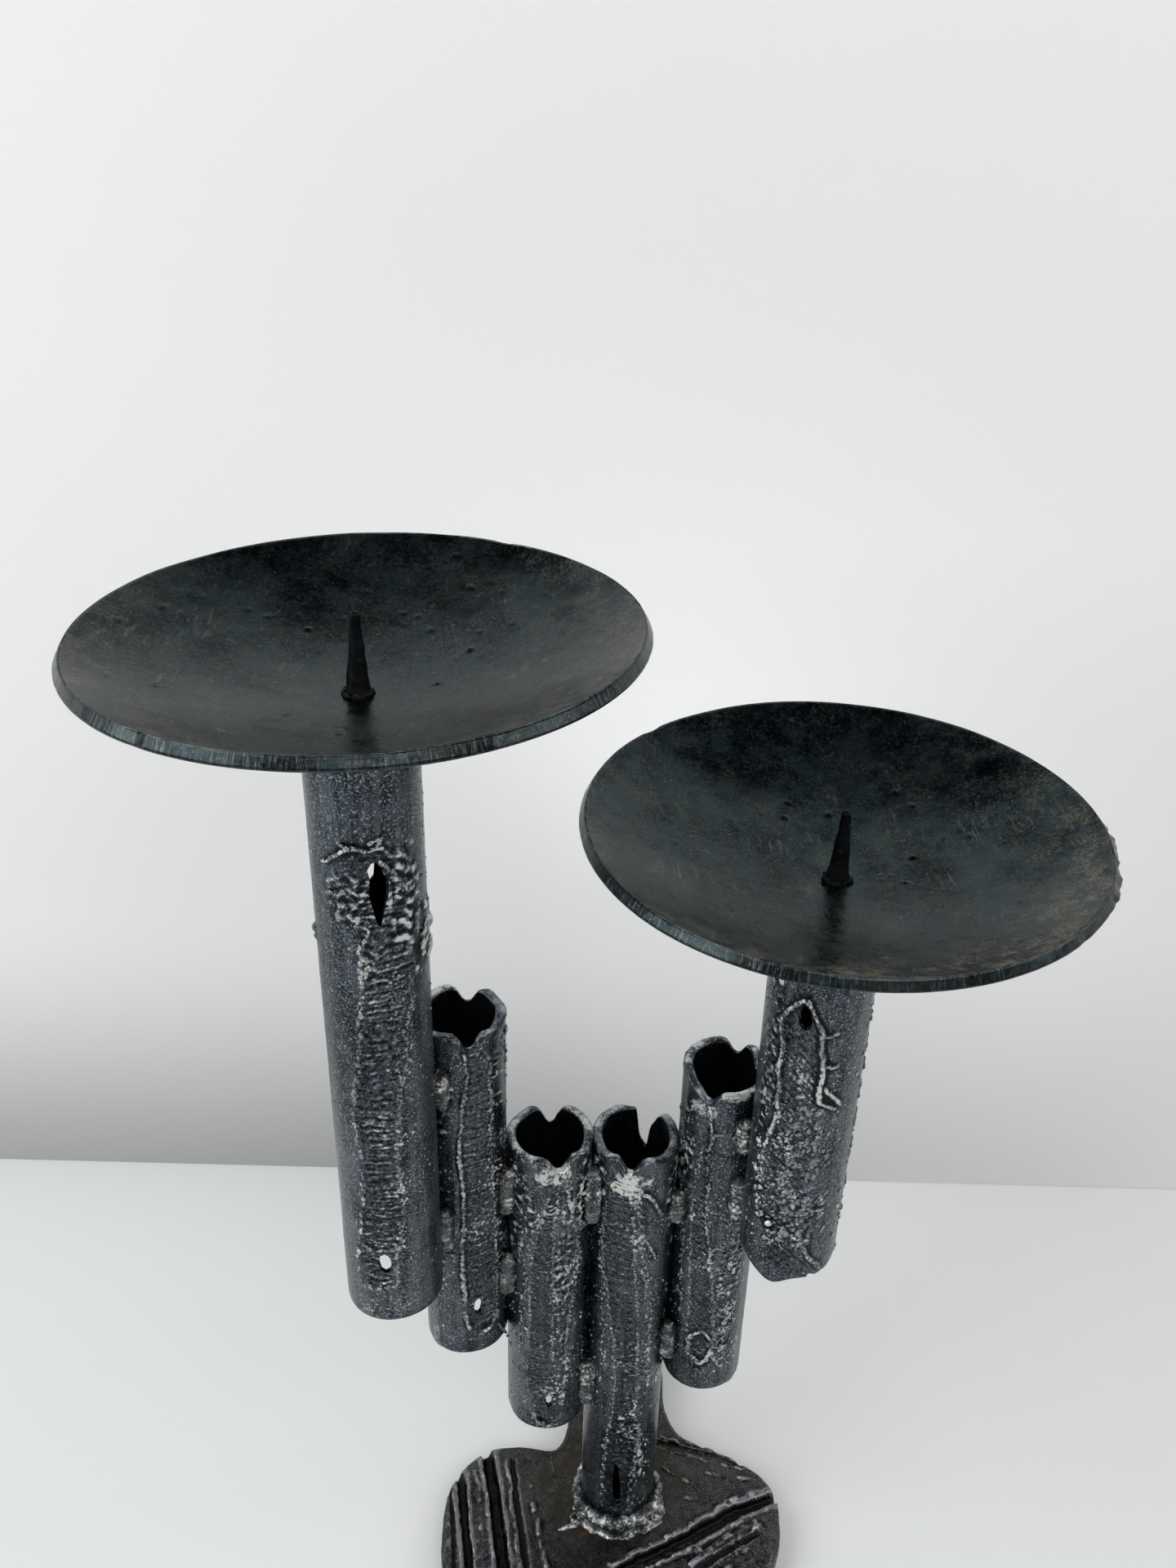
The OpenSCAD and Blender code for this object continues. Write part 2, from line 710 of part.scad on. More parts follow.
module tacks_outer_right_front() {
    color(weld_grey)
        tack_pair(inner_right_at, inner_tube_d, outer_right_at, outer_tube_d, -1,
            outer_right_step, inner_right_top, [0.25, 0.42], [0.66, 0.82], 117);
}

module tacks_outer_right_back() {
    color(weld_grey)
        tack_pair(inner_right_at, inner_tube_d, outer_right_at, outer_tube_d, 1,
            outer_right_step, inner_right_top, [0.2, 0.4], [0.62, 0.82], 119);
}

base_plate();
base_weld();
stem_tube();
centre_tube_left();
inner_tube_left();
outer_tube_left();
inner_tube_right();
outer_tube_right();
pan_left();
pan_right();
spike_left();
spike_right();
pan_weld_left();
pan_weld_right();
spike_weld_left();
spike_weld_right();
tacks_outer_left_front();
tacks_outer_left_back();
tacks_inner_left_front();
tacks_inner_left_back();
tacks_centre_front();
tacks_centre_back();
tacks_inner_right_front();
tacks_inner_right_back();
tacks_outer_right_front();
tacks_outer_right_back();
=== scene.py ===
"""Looks of a two-light pricket candlestick, torch-gouged and welded from blackened steel tube.

Lengths in the tables are millimetres, and angles round a tube are degrees counted from its
front, positive to the right. Everything is turned into metres as its mesh is made.
"""

import math

import bpy
import numpy as np
from mathutils import Matrix, Vector


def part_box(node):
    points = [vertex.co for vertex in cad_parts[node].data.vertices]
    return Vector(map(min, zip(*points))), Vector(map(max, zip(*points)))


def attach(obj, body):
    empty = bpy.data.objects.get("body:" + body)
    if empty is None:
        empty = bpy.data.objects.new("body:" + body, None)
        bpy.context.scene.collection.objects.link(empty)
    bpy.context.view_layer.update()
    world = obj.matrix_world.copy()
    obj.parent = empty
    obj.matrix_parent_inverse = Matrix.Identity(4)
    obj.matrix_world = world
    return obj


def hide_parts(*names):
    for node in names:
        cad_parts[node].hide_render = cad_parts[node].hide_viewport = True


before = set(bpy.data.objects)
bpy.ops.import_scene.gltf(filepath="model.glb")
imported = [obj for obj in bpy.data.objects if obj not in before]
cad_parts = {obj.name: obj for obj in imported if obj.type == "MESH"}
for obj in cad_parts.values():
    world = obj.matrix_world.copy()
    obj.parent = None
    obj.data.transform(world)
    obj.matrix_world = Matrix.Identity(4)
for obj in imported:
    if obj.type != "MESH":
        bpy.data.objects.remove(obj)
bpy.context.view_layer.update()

MM = 0.001

# Driving sizes of the steelwork
INNER_R = 12.5
OUTER_R = 13.65
WALL = 2.6
TUBE_GAP = 0.3
LEFT_NEST = math.radians(42)
RIGHT_NEST = math.radians(48)
PLATE_T = 3.0
DISH_IN_R = 61.75
DISH_DEPTH = 17.0
BASE_T = 10.0

PITCH = 2 * INNER_R + TUBE_GAP
NEST_PITCH = INNER_R + OUTER_R + TUBE_GAP
STEM_AT = np.array([0.0, 0.0])
CENTRE_LEFT_AT = np.array([-PITCH, 0.0])
INNER_LEFT_AT = np.array([-2 * PITCH, 0.0])
INNER_RIGHT_AT = np.array([PITCH, 0.0])
OUTER_LEFT_AT = INNER_LEFT_AT + NEST_PITCH * np.array([-math.cos(LEFT_NEST), -math.sin(LEFT_NEST)])
OUTER_RIGHT_AT = INNER_RIGHT_AT + NEST_PITCH * np.array([math.cos(RIGHT_NEST), -math.sin(RIGHT_NEST)])

# How far a dish's middle lies from its tube's axis, and a spike from its dish's middle
LEFT_DISH_SHIFT = [2.4, -1.3]
RIGHT_DISH_SHIFT = [0.4, 1.8]
LEFT_SPIKE_SHIFT = [-2.0, 0.0]
RIGHT_SPIKE_SHIFT = [0.0, -2.3]
LEFT_DISH_AT = OUTER_LEFT_AT + LEFT_DISH_SHIFT
RIGHT_DISH_AT = OUTER_RIGHT_AT + RIGHT_DISH_SHIFT
LEFT_SPIKE_AT = LEFT_DISH_AT + LEFT_SPIKE_SHIFT
RIGHT_SPIKE_AT = RIGHT_DISH_AT + RIGHT_SPIKE_SHIFT

# Heights of the dishes' middles, and their lean to the front and to the left in degrees
LEFT_DISH_LEVEL = 321.3
RIGHT_DISH_LEVEL = 272.3
LEFT_DISH_LEAN = 1.5
RIGHT_DISH_LEAN = 2.3
SIDE_LEAN = -0.9


# Smooth noise on a lattice of random numbers

LATTICE_N = 64
LATTICE = np.random.default_rng(7).uniform(-1, 1, (LATTICE_N,) * 3)


def noise(points, size, seed=0):
    """Smooth noise from -1 to 1 at points in mm, in lumps about size mm across."""
    q = np.asarray(points) / size + seed * 17.31
    cell = np.floor(q).astype(int)
    part = q - cell
    part = part * part * (3 - 2 * part)
    total = 0.0
    for corner in np.ndindex(2, 2, 2):
        weight = 1.0
        for axis in range(3):
            weight = weight * (part[..., axis] if corner[axis] else 1 - part[..., axis])
        place = tuple((cell[..., axis] + corner[axis]) % LATTICE_N for axis in range(3))
        total = total + weight * LATTICE[place]
    return total


def rough_noise(points, size, seed=0, octaves=3):
    """Noise with finer and fainter noise added on top."""
    return sum(noise(points, size / 2 ** k, seed + k) / 2 ** k for k in range(octaves)) / 1.5


def smooth_step(low, high, x):
    t = np.clip((x - low) / (high - low), 0, 1)
    return t * t * (3 - 2 * t)


def wrapped(angle):
    """An angle in radians brought to between -pi and pi."""
    return (angle + math.pi) % (2 * math.pi) - math.pi


# Meshes

def new_object(name, data):
    made = bpy.data.objects.new(name, data)
    bpy.context.scene.collection.objects.link(made)
    return made


def make_mesh(name, points_mm, faces, material, masks=None):
    """A smooth mesh object from points in mm, with named numbers per point for its material."""
    mesh = bpy.data.meshes.new(name)
    mesh.from_pydata((np.asarray(points_mm) * MM).tolist(), [], faces)
    mesh.validate()
    mesh.polygons.foreach_set("use_smooth", [True] * len(mesh.polygons))
    for mask, values in (masks or {}).items():
        layer = mesh.attributes.new(mask, "FLOAT", "POINT")
        layer.data.foreach_set("value", np.asarray(values, np.float32).ravel())
    mesh.materials.append(material)
    mesh.update()
    return new_object(name, mesh)


def fit(piece, slot, *nodes):
    """Ties a finished piece to the part's body and hides the solids that it stands for. Its finish, slot, is
    not used.
    """
    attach(piece, "root")
    if nodes:
        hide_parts(*nodes)
    return piece


def ring_quads(lower, upper):
    """Quads between two closed rings of point numbers, facing outwards when the rings turn left."""
    after_lower, after_upper = np.roll(lower, -1), np.roll(upper, -1)
    return np.stack([lower, after_lower, after_upper, upper], axis=-1).reshape(-1, 4)


def grid_quads(number):
    """Quads between the rows of a grid of point numbers, whose rows each close on themselves."""
    corners = [number[:-1], np.roll(number[:-1], -1, 1), np.roll(number[1:], -1, 1), number[1:]]
    return np.stack(corners, axis=-1)


def blurred(field, reach):
    """A grid of numbers averaged over reach cells each way, round the tube and along it."""
    for _ in range(2):
        field = sum(np.roll(field, k, axis=1) for k in range(-reach, reach + 1)) / (2 * reach + 1)
        padded = np.pad(field, ((reach, reach), (0, 0)), mode="edge")
        rows = field.shape[0]
        field = sum(padded[k:k + rows] for k in range(2 * reach + 1)) / (2 * reach + 1)
    return field


# Torch-gouged tubes

TUBE_QUADS = 88000
MOST_COLUMNS = 226
ROW_STEP = 0.39
BORE_ROW_STEP = 2.2
BORE_FINE_STEP = 0.6
LIP_SEGMENTS = 5
# Rows of outside and bore together for each row outside, and what the ends add
ROWS_IN_ALL = 1.27
END_ROWS = 20
# Height and spacing of the ripples that the torch left, and of the longer ones below them
RIPPLE_TALL = 0.062
RIPPLE_PITCH = 1.45
LONG_RIPPLE_TALL = 0.04
LONG_RIPPLE_PITCH = 1.9 * RIPPLE_PITCH
STIPPLE_TALL = 0.15
STIPPLE_STRETCH = [1, 1, 1.3]
# How far from a tube's end its grid bends to follow the burnt edge, and by how much at most
END_REACH = 26.0
GRID_SHIFT = 12
# How far below its rim a tube's bore has fine rows
RIM_DEPTH = 8
# How uneven the ends are, and how far their lips swell
RIM_WOBBLE = 0.25
FOOT_WOBBLE = 0.12
RIM_SWELL = 0.45
FOOT_SWELL = 0.15
# Slag in the crevice beside a neighbour: how far it stands, and half its width
CREVICE_TALL = 0.2
CREVICE_HALF = 1.8
PALE_WEIGHT = 3.6
# The bore is marked sunk, so its material darkens it: painted shade inside the tube, on top of its own dark
# colour
BORE_MASKS = {"relief": -0.6, "slag": 0.0, "channel": 0.0}


def tube_angles(front_mid, back_mid, columns):
    """Angles of the mesh columns, close together over the front and back channels."""
    fine = np.linspace(-math.pi, math.pi, 3600, endpoint=False)
    front = np.exp(-(wrapped(fine - front_mid) / 1.0) ** 4)
    back = np.exp(-(wrapped(fine - back_mid) / 0.8) ** 4)
    count = np.cumsum(0.45 + 0.85 * front + 0.55 * back)
    places = (np.arange(columns) + 0.5) / columns * count[-1]
    return np.interp(places, count, fine)


def at_levels(line, levels):
    """The angle in degrees of a line of (degrees, mm) points at some heights."""
    line = sorted(line, key=lambda point: point[1])
    return np.interp(levels, [z for _, z in line], [a for a, _ in line])


class TubeFace:
    """The outside of one tube as a grid of angles and heights, with what the torch did to it."""

    def __init__(self, radius, angle, height, seed):
        self.radius = radius
        self.angle = angle
        self.height = height
        self.rng = np.random.default_rng(seed)
        self.seed = seed
        self.lump = np.zeros(angle.shape)
        self.sunk = np.zeros(angle.shape)
        self.in_channel = np.zeros(angle.shape)
        self.fine = np.zeros(angle.shape)
        self.pale = np.zeros(angle.shape)
        self.drops = []
        self.around = np.stack([radius * np.sin(angle), -radius * np.cos(angle), height], axis=-1)

    def window(self, middle, low, high, reach_mm, half_angle):
        """Row and column numbers of the grid near a place, to keep the sums small."""
        heights = self.height[:, 0]
        margin = reach_mm + GRID_SHIFT
        rows = np.where((heights > low - margin) & (heights < high + margin))[0]
        turns = np.abs(wrapped(self.angle[0] - middle))
        columns = np.where(turns < half_angle + (reach_mm + 1) / self.radius)[0]
        return np.ix_(rows, columns)

    def across(self, spot, middle):
        return wrapped(self.angle[spot] - middle) * self.radius

    def bead(self, angle, height, wide, high, tall):
        """A rounded drop of slag: half its width and its height on the tube, and how far it stands."""
        spot = self.window(angle, height, height, max(wide, high), 0)
        if spot[0].size == 0 or spot[1].size == 0:
            return
        d = (self.across(spot, angle) / wide) ** 2 + ((self.height[spot] - height) / high) ** 2
        drop = tall * np.sqrt(np.clip(1 - d, 0, 1))
        self.lump[spot] = np.maximum(self.lump[spot], drop)

    def ridge(self, path, wide, tall, rough=0.5):
        """A ragged thread of slag along a path of (degrees, mm) points; rough breaks it up."""
        for (a0, z0), (a1, z1) in zip(path[:-1], path[1:]):
            a0, a1 = math.radians(a0), math.radians(a1)
            middle, half = (a0 + a1) / 2, abs(a1 - a0) / 2
            spot = self.window(middle, min(z0, z1), max(z0, z1), 3 * wide, half)
            if spot[0].size == 0 or spot[1].size == 0:
                continue
            s, z = self.across(spot, middle), self.height[spot]
            near = self.around[spot]
            s = s + 0.42 * noise(near, 2.6, 3) + 0.2 * noise(near, 1.1, 7)
            z = z + 0.42 * noise(near, 2.4, 4) + 0.2 * noise(near, 1.0, 8)
            start = np.array([wrapped(a0 - middle) * self.radius, z0])
            run = np.array([wrapped(a1 - middle) * self.radius, z1]) - start
            t = np.clip(((s - start[0]) * run[0] + (z - start[1]) * run[1]) / (run @ run), 0, 1)
            d = np.hypot(s - start[0] - t * run[0], z - start[1] - t * run[1]) / wide
            body = tall * np.sqrt(np.clip(1 - d * d, 0, 1)) * (0.8 + 0.35 * noise(near, 1.3, 5))
            body *= 1 - rough * smooth_step(0.25, -0.25, noise(near, 3.0, 6))
            self.lump[spot] = np.maximum(self.lump[spot], body)

    def channel(self, left, right, low, high, hollow=0.55, slant=0.0, coarse=1.0, low_run=4.0, high_run=4.0):
        """A channel that the torch ploughed, between two edges of (degrees, mm) points."""
        z = self.height
        left = np.radians(at_levels(left, z))
        right = np.radians(at_levels(right, z))
        middle, half = (left + right) / 2, (right - left) / 2
        taper = np.clip((z - low) / low_run, 0, 1) * (z < high) if low_run else (z > low) * 1.0
        half = half * np.sqrt(np.clip(1 - (1 - taper) ** 2, 0, 1))
        if high_run:
            taper = np.clip((high - z) / high_run, 0, 1)
            half = half * np.sqrt(np.clip(1 - (1 - taper) ** 2, 0, 1))
        half = np.maximum(half, 1e-4)
        off = wrapped(self.angle - middle)
        u = np.clip(off / half, -1, 1)
        inside = (np.abs(off) < half) * (half > 0.02)
        r = self.radius
        flat = r * np.cos(half) / np.cos(np.clip(off, -half, half))
        share = half / max(half.max(), 1e-4)
        depth = (r - flat + hollow * share * (1 - u * u)) * inside
        # The torch moved in small steps, so the channel's floor is rippled across
        p = self.around
        bow = 1.4 * (1 - u * u) + 0.6 * noise(p, 5, 11)
        run = z + bow + slant * off * r + 0.6 * noise(p, 2.6, 12)
        strength = np.clip(0.5 + 0.9 * noise(p, 6, 13), 0.05, 1.3)
        ripple = RIPPLE_TALL * strength * np.sin(2 * math.pi * run / RIPPLE_PITCH)
        ripple += LONG_RIPPLE_TALL * np.sin(2 * math.pi * run / LONG_RIPPLE_PITCH + 3 * noise(p, 4, 14))
        stipple = STIPPLE_TALL * rough_noise(p * STIPPLE_STRETCH, 1.0, 15, 2)
        fine = coarse * (ripple + stipple) * inside * np.sqrt(np.clip(1 - u ** 4, 0, 1))
        self.fine = np.where(inside, fine, self.fine)
        self.sunk = np.maximum(self.sunk, depth - fine)
        self.in_channel = np.maximum(self.in_channel, inside * smooth_step(0, 0.25, 1 - np.abs(u)))

    def scoop(self, degrees, level, wide, high, deep, slope=0.0):
        """A hollow that the torch dug: half its width and height, its depth, and how it slopes."""
        s = wrapped(self.angle - math.radians(degrees)) * self.radius
        z = self.height - level + slope * s
        reach = np.clip(1 - (s / wide) ** 2 - (z / high) ** 2 + 0.15 * noise(self.around, 1.6, 17), 0, 1)
        self.sunk = np.maximum(self.sunk, deep * np.sqrt(reach))

    def drop(self, degrees, level, wide, high, tall, tilt=0.0, pale=0.5):
        """One drop of slag that lies on the surface, to be made once that is finished."""
        self.drops.append((math.radians(degrees), level, wide, high, tall, tilt, pale))

    def some_drop(self, degrees, level, size, pale, tilt=0.0, length=(0.8, 1.4)):
        """A drop of a chance size between two half widths, small ones more often."""
        wide = size[0] + (size[1] - size[0]) * self.rng.uniform() ** 1.5
        self.drop(degrees, level, wide, wide * self.rng.uniform(*length), wide * self.rng.uniform(0.55, 0.9),
                  tilt + self.rng.normal(0, 0.35), self.rng.uniform(*pale))

    def slag_line(self, path, per_mm=1.0, size=(0.25, 0.65), spread=0.35, wide=0.42, tall=0.18, rough=0.9,
                  pale=(0.0, 0.7)):
        """Slag thrown up along a line: a low broken ridge with a row of drops on it."""
        self.ridge(path, wide, tall, rough)
        path = np.array(path, float)
        flat = np.stack([np.radians(path[:, 0]) * self.radius, path[:, 1]], axis=1)
        run = np.concatenate([[0], np.cumsum(np.hypot(*np.diff(flat, axis=0).T))])
        for place in self.rng.uniform(0, run[-1], int(run[-1] * per_mm)):
            s = np.interp(place, run, flat[:, 0]) + self.rng.normal(0, spread)
            z = np.interp(place, run, flat[:, 1]) + self.rng.normal(0, 0.6 * spread)
            self.some_drop(math.degrees(s / self.radius), z, size, pale)

    def spray(self, from_deg, to_deg, low, high, count, size=(0.2, 0.5), pale=(0.0, 0.8), tilt=0.0,
              length=(0.8, 1.4)):
        """Drops of spatter scattered over a patch of the tube, in loose clusters."""
        made = tries = 0
        while made < count and tries < 6 * count:
            tries += 1
            a, z = self.rng.uniform(from_deg, to_deg), self.rng.uniform(low, high)
            spot = np.array([self.radius * math.radians(a), 0, z])
            if noise(spot, 5.0, 18 + self.seed) + self.rng.uniform(-0.5, 0.5) > 0:
                self.some_drop(a, z, size, pale, tilt, length)
                made += 1

    def whiten(self, degrees, level, wide, high, amount):
        """A patch that the pale paint took to: half its width and height in mm."""
        s = wrapped(self.angle - math.radians(degrees)) * self.radius
        near = np.hypot(s / wide, (self.height - level) / high) + 0.3 * noise(self.around, 1.8, 19)
        self.pale = np.maximum(self.pale, amount * smooth_step(1.15, 0.55, near))

    def crust(self, from_deg, to_deg, low, high, tall=0.55, size=1.6, cover=0.2):
        """A patch of clotted slag with soft borders."""
        mid, half = math.radians((from_deg + to_deg) / 2), math.radians(to_deg - from_deg) / 2
        side = wrapped(self.angle - mid) / half
        up = (self.height - (low + high) / 2) / ((high - low) / 2)
        patch = smooth_step(1.15, 0.7, np.hypot(side, up) + 0.25 * noise(self.around, 3, 21))
        clot = rough_noise(self.around, size, 22 + self.seed, 3)
        body = tall * np.clip(clot + cover, 0, 1) * patch
        self.lump = np.maximum(self.lump, body)

    def finish(self):
        """Radius of every grid point, and the masks that its material reads."""
        p = self.around
        plain = 0.06 * rough_noise(p, 9, 31, 2) + 0.035 * noise(p, 1.4, 33)
        gritty = 0.035 * rough_noise(p, 0.8, 34, 2) * np.clip(self.lump * 3, 0.25, 1)
        radius = self.radius - self.sunk + self.lump + plain + gritty
        raised = self.fine + self.lump + gritty
        relief = 1.4 * np.tanh((raised - blurred(raised, 3)) / 0.16)
        return radius, {
            "relief": relief,
            "slag": np.clip(self.lump / 0.55, 0, 1.5) + PALE_WEIGHT * self.pale,
            "channel": self.in_channel,
        }


def hole_edge(outline, turn):
    """Distance from a burn hole's middle to its edge in a given direction, in mm."""
    corners = np.asarray(outline, float)
    steps = np.linspace(0, 1, 10, endpoint=False)[:, None]
    points = np.concatenate([a + (b - a) * steps for a, b in zip(corners, np.roll(corners, -1, axis=0))])
    angles = np.arctan2(points[:, 1], points[:, 0])
    order = np.argsort(angles)
    angles, reach = angles[order], np.hypot(points[:, 0], points[:, 1])[order]
    return np.interp(turn, angles, reach, period=2 * math.pi)


def open_hole(radius, angle, height, hole):
    """Marks the faces that a burn hole takes out and draws its rim points onto its outline."""
    middle, level, outline = math.radians(hole[0]), hole[1], hole[2]
    s = wrapped(angle - middle) * radius
    z = height - level
    turn = np.arctan2(z, s)
    edge = hole_edge(outline, turn)
    inside = np.hypot(s, z) < edge
    after = np.roll(inside, -1, axis=1)
    gone = inside[:-1] & inside[1:] & after[:-1] & after[1:]
    touched = np.zeros_like(inside)
    touched[:-1] |= gone
    touched[1:] |= gone
    touched |= np.roll(touched, 1, axis=1)
    kept = ~gone
    beside = np.zeros_like(inside)
    beside[:-1] |= kept
    beside[1:] |= kept
    beside |= np.roll(beside, 1, axis=1)
    rim = touched & beside
    angle[rim] = middle + edge[rim] * np.cos(turn[rim]) / radius
    height[rim] = level + edge[rim] * np.sin(turn[rim])
    return gone


def boundary_loop(gone, first):
    """The closed ring of point numbers round the faces that a hole took out."""
    rows, columns = gone.shape
    number = first + np.arange((rows + 1) * columns).reshape(rows + 1, columns)
    step = {}
    for r, c in zip(*np.where(gone)):
        d = (c + 1) % columns
        corners = [number[r, c], number[r, d], number[r + 1, d], number[r + 1, c]]
        beside = [r == 0 or not gone[r - 1, c], not gone[r, d],
                  r == rows - 1 or not gone[r + 1, c], not gone[r, (c - 1) % columns]]
        for k in range(4):
            if beside[k]:
                step[corners[k]] = corners[(k + 1) % 4]
    loops = []
    while step:
        start = next(iter(step))
        loop = [start]
        after = step.pop(start)
        while after != start:
            loop.append(after)
            after = step.pop(after)
        loops.append(loop)
    return max(loops, key=len)


def zipped(outer, inner, points, middle_dir):
    """Triangles between two rings round the same hole, whatever their counts of points."""
    side = np.cross([0, 0, 1.0], middle_dir)

    def turns(ring):
        p = points[ring]
        c = p.mean(axis=0)
        return np.unwrap(np.arctan2((p - c)[:, 2], (p - c) @ side))

    outer, inner = np.array(outer), np.array(inner)
    a, b = turns(outer), turns(inner)
    shift = int(np.argmin(np.abs(np.angle(np.exp(1j * (b - a[0]))))))
    inner = np.roll(inner, -shift)
    b = turns(inner)
    a, b = a - a[0], b - b[0]
    full = math.copysign(2 * math.pi, a[-1])
    a, b = np.append(a, full), np.append(b, full)
    triangles = []
    i = j = 0
    while i < len(outer) or j < len(inner):
        o, n = outer[i % len(outer)], inner[j % len(inner)]
        go_outer = j >= len(inner) or (i < len(outer) and abs(a[i + 1]) <= abs(b[j + 1]))
        if go_outer:
            triangles.append((o, n, outer[(i + 1) % len(outer)]))
            i += 1
        else:
            triangles.append((o, n, inner[(j + 1) % len(inner)]))
            j += 1
    return triangles


def edge_heights(angles, level, dips, wobble, seed, sign):
    """Height of a tube's end at each angle, with notches and dips burnt into it.

    A dip is (degrees, width, depth, squareness): 1 is a soft dip, and 4 a straight-sided notch."""
    ring = np.stack([10 * np.cos(angles), 10 * np.sin(angles), 0 * angles + seed], axis=-1)
    height = level + sign * wobble * rough_noise(ring, 6, seed, 3)
    for degrees, width, depth, squareness in dips:
        off = np.abs(wrapped(angles - math.radians(degrees))) * INNER_R / (width / 2)
        height = height + sign * depth * np.exp(-off ** (2 * squareness) * 0.9)
    return height


def gouged_tube(name, look):
    """One tube: outside, bore, rounded burnt ends and burn holes, as a single closed mesh."""
    at, radius, seed = look["at"], look["radius"], look["seed"]
    low_box, high_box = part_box(look["node"])
    bottom, top = low_box.z / MM, high_box.z / MM
    front_mid = math.radians(look["front_mid"])
    columns = min(MOST_COLUMNS, int(TUBE_QUADS / ((top - bottom) / ROW_STEP * ROWS_IN_ALL + END_ROWS)))
    angles = tube_angles(front_mid, wrapped(front_mid + math.pi), columns)
    rim = edge_heights(angles, top, look["rim"], RIM_WOBBLE, seed, -1)
    foot = edge_heights(angles, bottom, look["foot"], look.get("foot_wobble", FOOT_WOBBLE), seed + 5, 1)

    def grid(levels):
        z = levels[:, None] + 0 * angles[None, :]
        high = np.clip(1 - (top - z) / END_REACH, 0, 1) ** 1.6
        low = np.clip(1 - (z - bottom) / END_REACH, 0, 1) ** 1.6
        return z + high * (rim - top)[None, :] + low * (foot - bottom)[None, :]

    outside_levels = np.linspace(bottom, top, int((top - bottom) / ROW_STEP) + 1)
    wanted = np.linspace(bottom, top, 4000)
    density = np.full(wanted.shape, 1 / BORE_ROW_STEP)
    for hole in look["holes"]:
        tall = max(abs(p[1]) for p in hole[2])
        density[np.abs(wanted - hole[1]) < tall + 1] = 1 / BORE_FINE_STEP
    density[wanted > top - RIM_DEPTH] = 1 / BORE_FINE_STEP
    total = np.cumsum(density) * (wanted[1] - wanted[0])
    bore_levels = np.interp(np.linspace(total[0], total[-1], int(total[-1]) + 2), total, wanted)

    heights = grid(outside_levels)
    turns = np.repeat(angles[None, :], len(outside_levels), axis=0)
    bore_heights = grid(bore_levels)
    bore_turns = np.repeat(angles[None, :], len(bore_levels), axis=0)
    gone = np.zeros((len(outside_levels) - 1, columns), bool)
    bore_gone = np.zeros((len(bore_levels) - 1, columns), bool)
    cuts = []
    for hole in look["holes"]:
        cut = open_hole(radius, turns, heights, hole)
        bore_cut = open_hole(radius, bore_turns, bore_heights, hole)
        cuts.append((cut, bore_cut, math.radians(hole[0])))
        gone |= cut
        bore_gone |= bore_cut

    face = TubeFace(radius, turns, heights, seed)
    look["work"](face)
    for degrees in look["touches"]:
        # Slag has run into the crevice beside the next tube and closed it
        off = wrapped(turns - math.radians(degrees)) * radius
        face.lump = np.maximum(face.lump, CREVICE_TALL * np.exp(-(off / CREVICE_HALF) ** 4))
    r, masks = face.finish()
    ragged = 0.25 * rough_noise(face.around, 2.0, seed + 40, 3)
    near_rim = smooth_step(2.2, 0.2, rim[None, :] - heights)
    near_foot = smooth_step(1.2, 0.1, heights - foot[None, :])
    if look.get("open_top", True):
        r = r + near_rim * (0.22 + ragged)
    r = r - near_foot * 0.12

    def place(turn, rr, z):
        return np.stack([at[0] + rr * np.sin(turn), at[1] - rr * np.cos(turn), z], axis=-1)

    bore_r = radius - WALL + 0.05 * rough_noise(
        np.stack([8 * np.cos(bore_turns), 8 * np.sin(bore_turns), bore_heights], axis=-1), 3, seed, 2)
    bore_r = np.minimum(bore_r, radius - WALL + 0.1)
    outside = place(turns, r, heights)
    bore = place(bore_turns, bore_r, bore_heights)
    make_drops(name + "_drops", face, r, gone, angles, place)
    points = [outside.reshape(-1, 3), bore.reshape(-1, 3)]
    bore_first = outside.shape[0] * columns
    count = bore_first + bore.shape[0] * columns
    number = np.arange(bore_first).reshape(-1, columns)
    bore_number = bore_first + np.arange(bore.shape[0] * columns).reshape(-1, columns)

    faces = [grid_quads(number)[~gone], grid_quads(bore_number)[~bore_gone][:, ::-1]]
    mask_rows = {key: [values.ravel(), np.full(bore.shape[0] * columns, BORE_MASKS[key])]
                 for key, values in masks.items()}
    plain = np.zeros(columns)

    # Rounded lips join the outside to the bore at both ends
    for end, swell, out_row, in_row in ((1, RIM_SWELL, number[-1], bore_number[-1]),
                                        (-1, FOOT_SWELL, number[0], bore_number[0])):
        a, b = outside[-1 if end > 0 else 0], bore[-1 if end > 0 else 0]
        previous = out_row
        for k in range(1, LIP_SEGMENTS):
            t = k / LIP_SEGMENTS
            ring = a * (1 - t) + b * t
            bulge = swell * math.sin(math.pi * t) ** 0.7
            grit = 0.16 * rough_noise(ring, 1.6, seed + 50, 2) * math.sin(math.pi * t)
            ring = ring + np.array([0, 0, end]) * (bulge + grit)[:, None]
            now = count + np.arange(columns)
            count += columns
            points.append(ring)
            burnt = 0.7 + 1.2 * rough_noise(ring, 2.4, seed + 51, 2)
            mask_rows["relief"].append(burnt if end > 0 else plain)
            mask_rows["slag"].append(0.35 + PALE_WEIGHT * face.pale[-1] if end > 0 else plain)
            mask_rows["channel"].append(plain)
            faces.append(ring_quads(previous, now) if end > 0 else ring_quads(now, previous))
            previous = now
        faces.append(ring_quads(previous, in_row) if end > 0 else ring_quads(in_row, previous))

    points = np.concatenate(points)
    triangles = []
    for cut, bore_cut, middle in cuts:
        outer_ring = boundary_loop(cut, 0)
        inner_ring = boundary_loop(bore_cut, bore_first)
        radial = np.array([math.sin(middle), -math.cos(middle), 0.0])
        triangles += zipped(outer_ring, inner_ring, points, radial)
    faces = np.concatenate(faces).tolist() + [tuple(int(v) for v in t) for t in triangles]
    masks = {key: np.concatenate(rows) for key, rows in mask_rows.items()}
    return fit(make_mesh(name, points, faces, GOUGED, masks), "gouged_steel", look["node"])


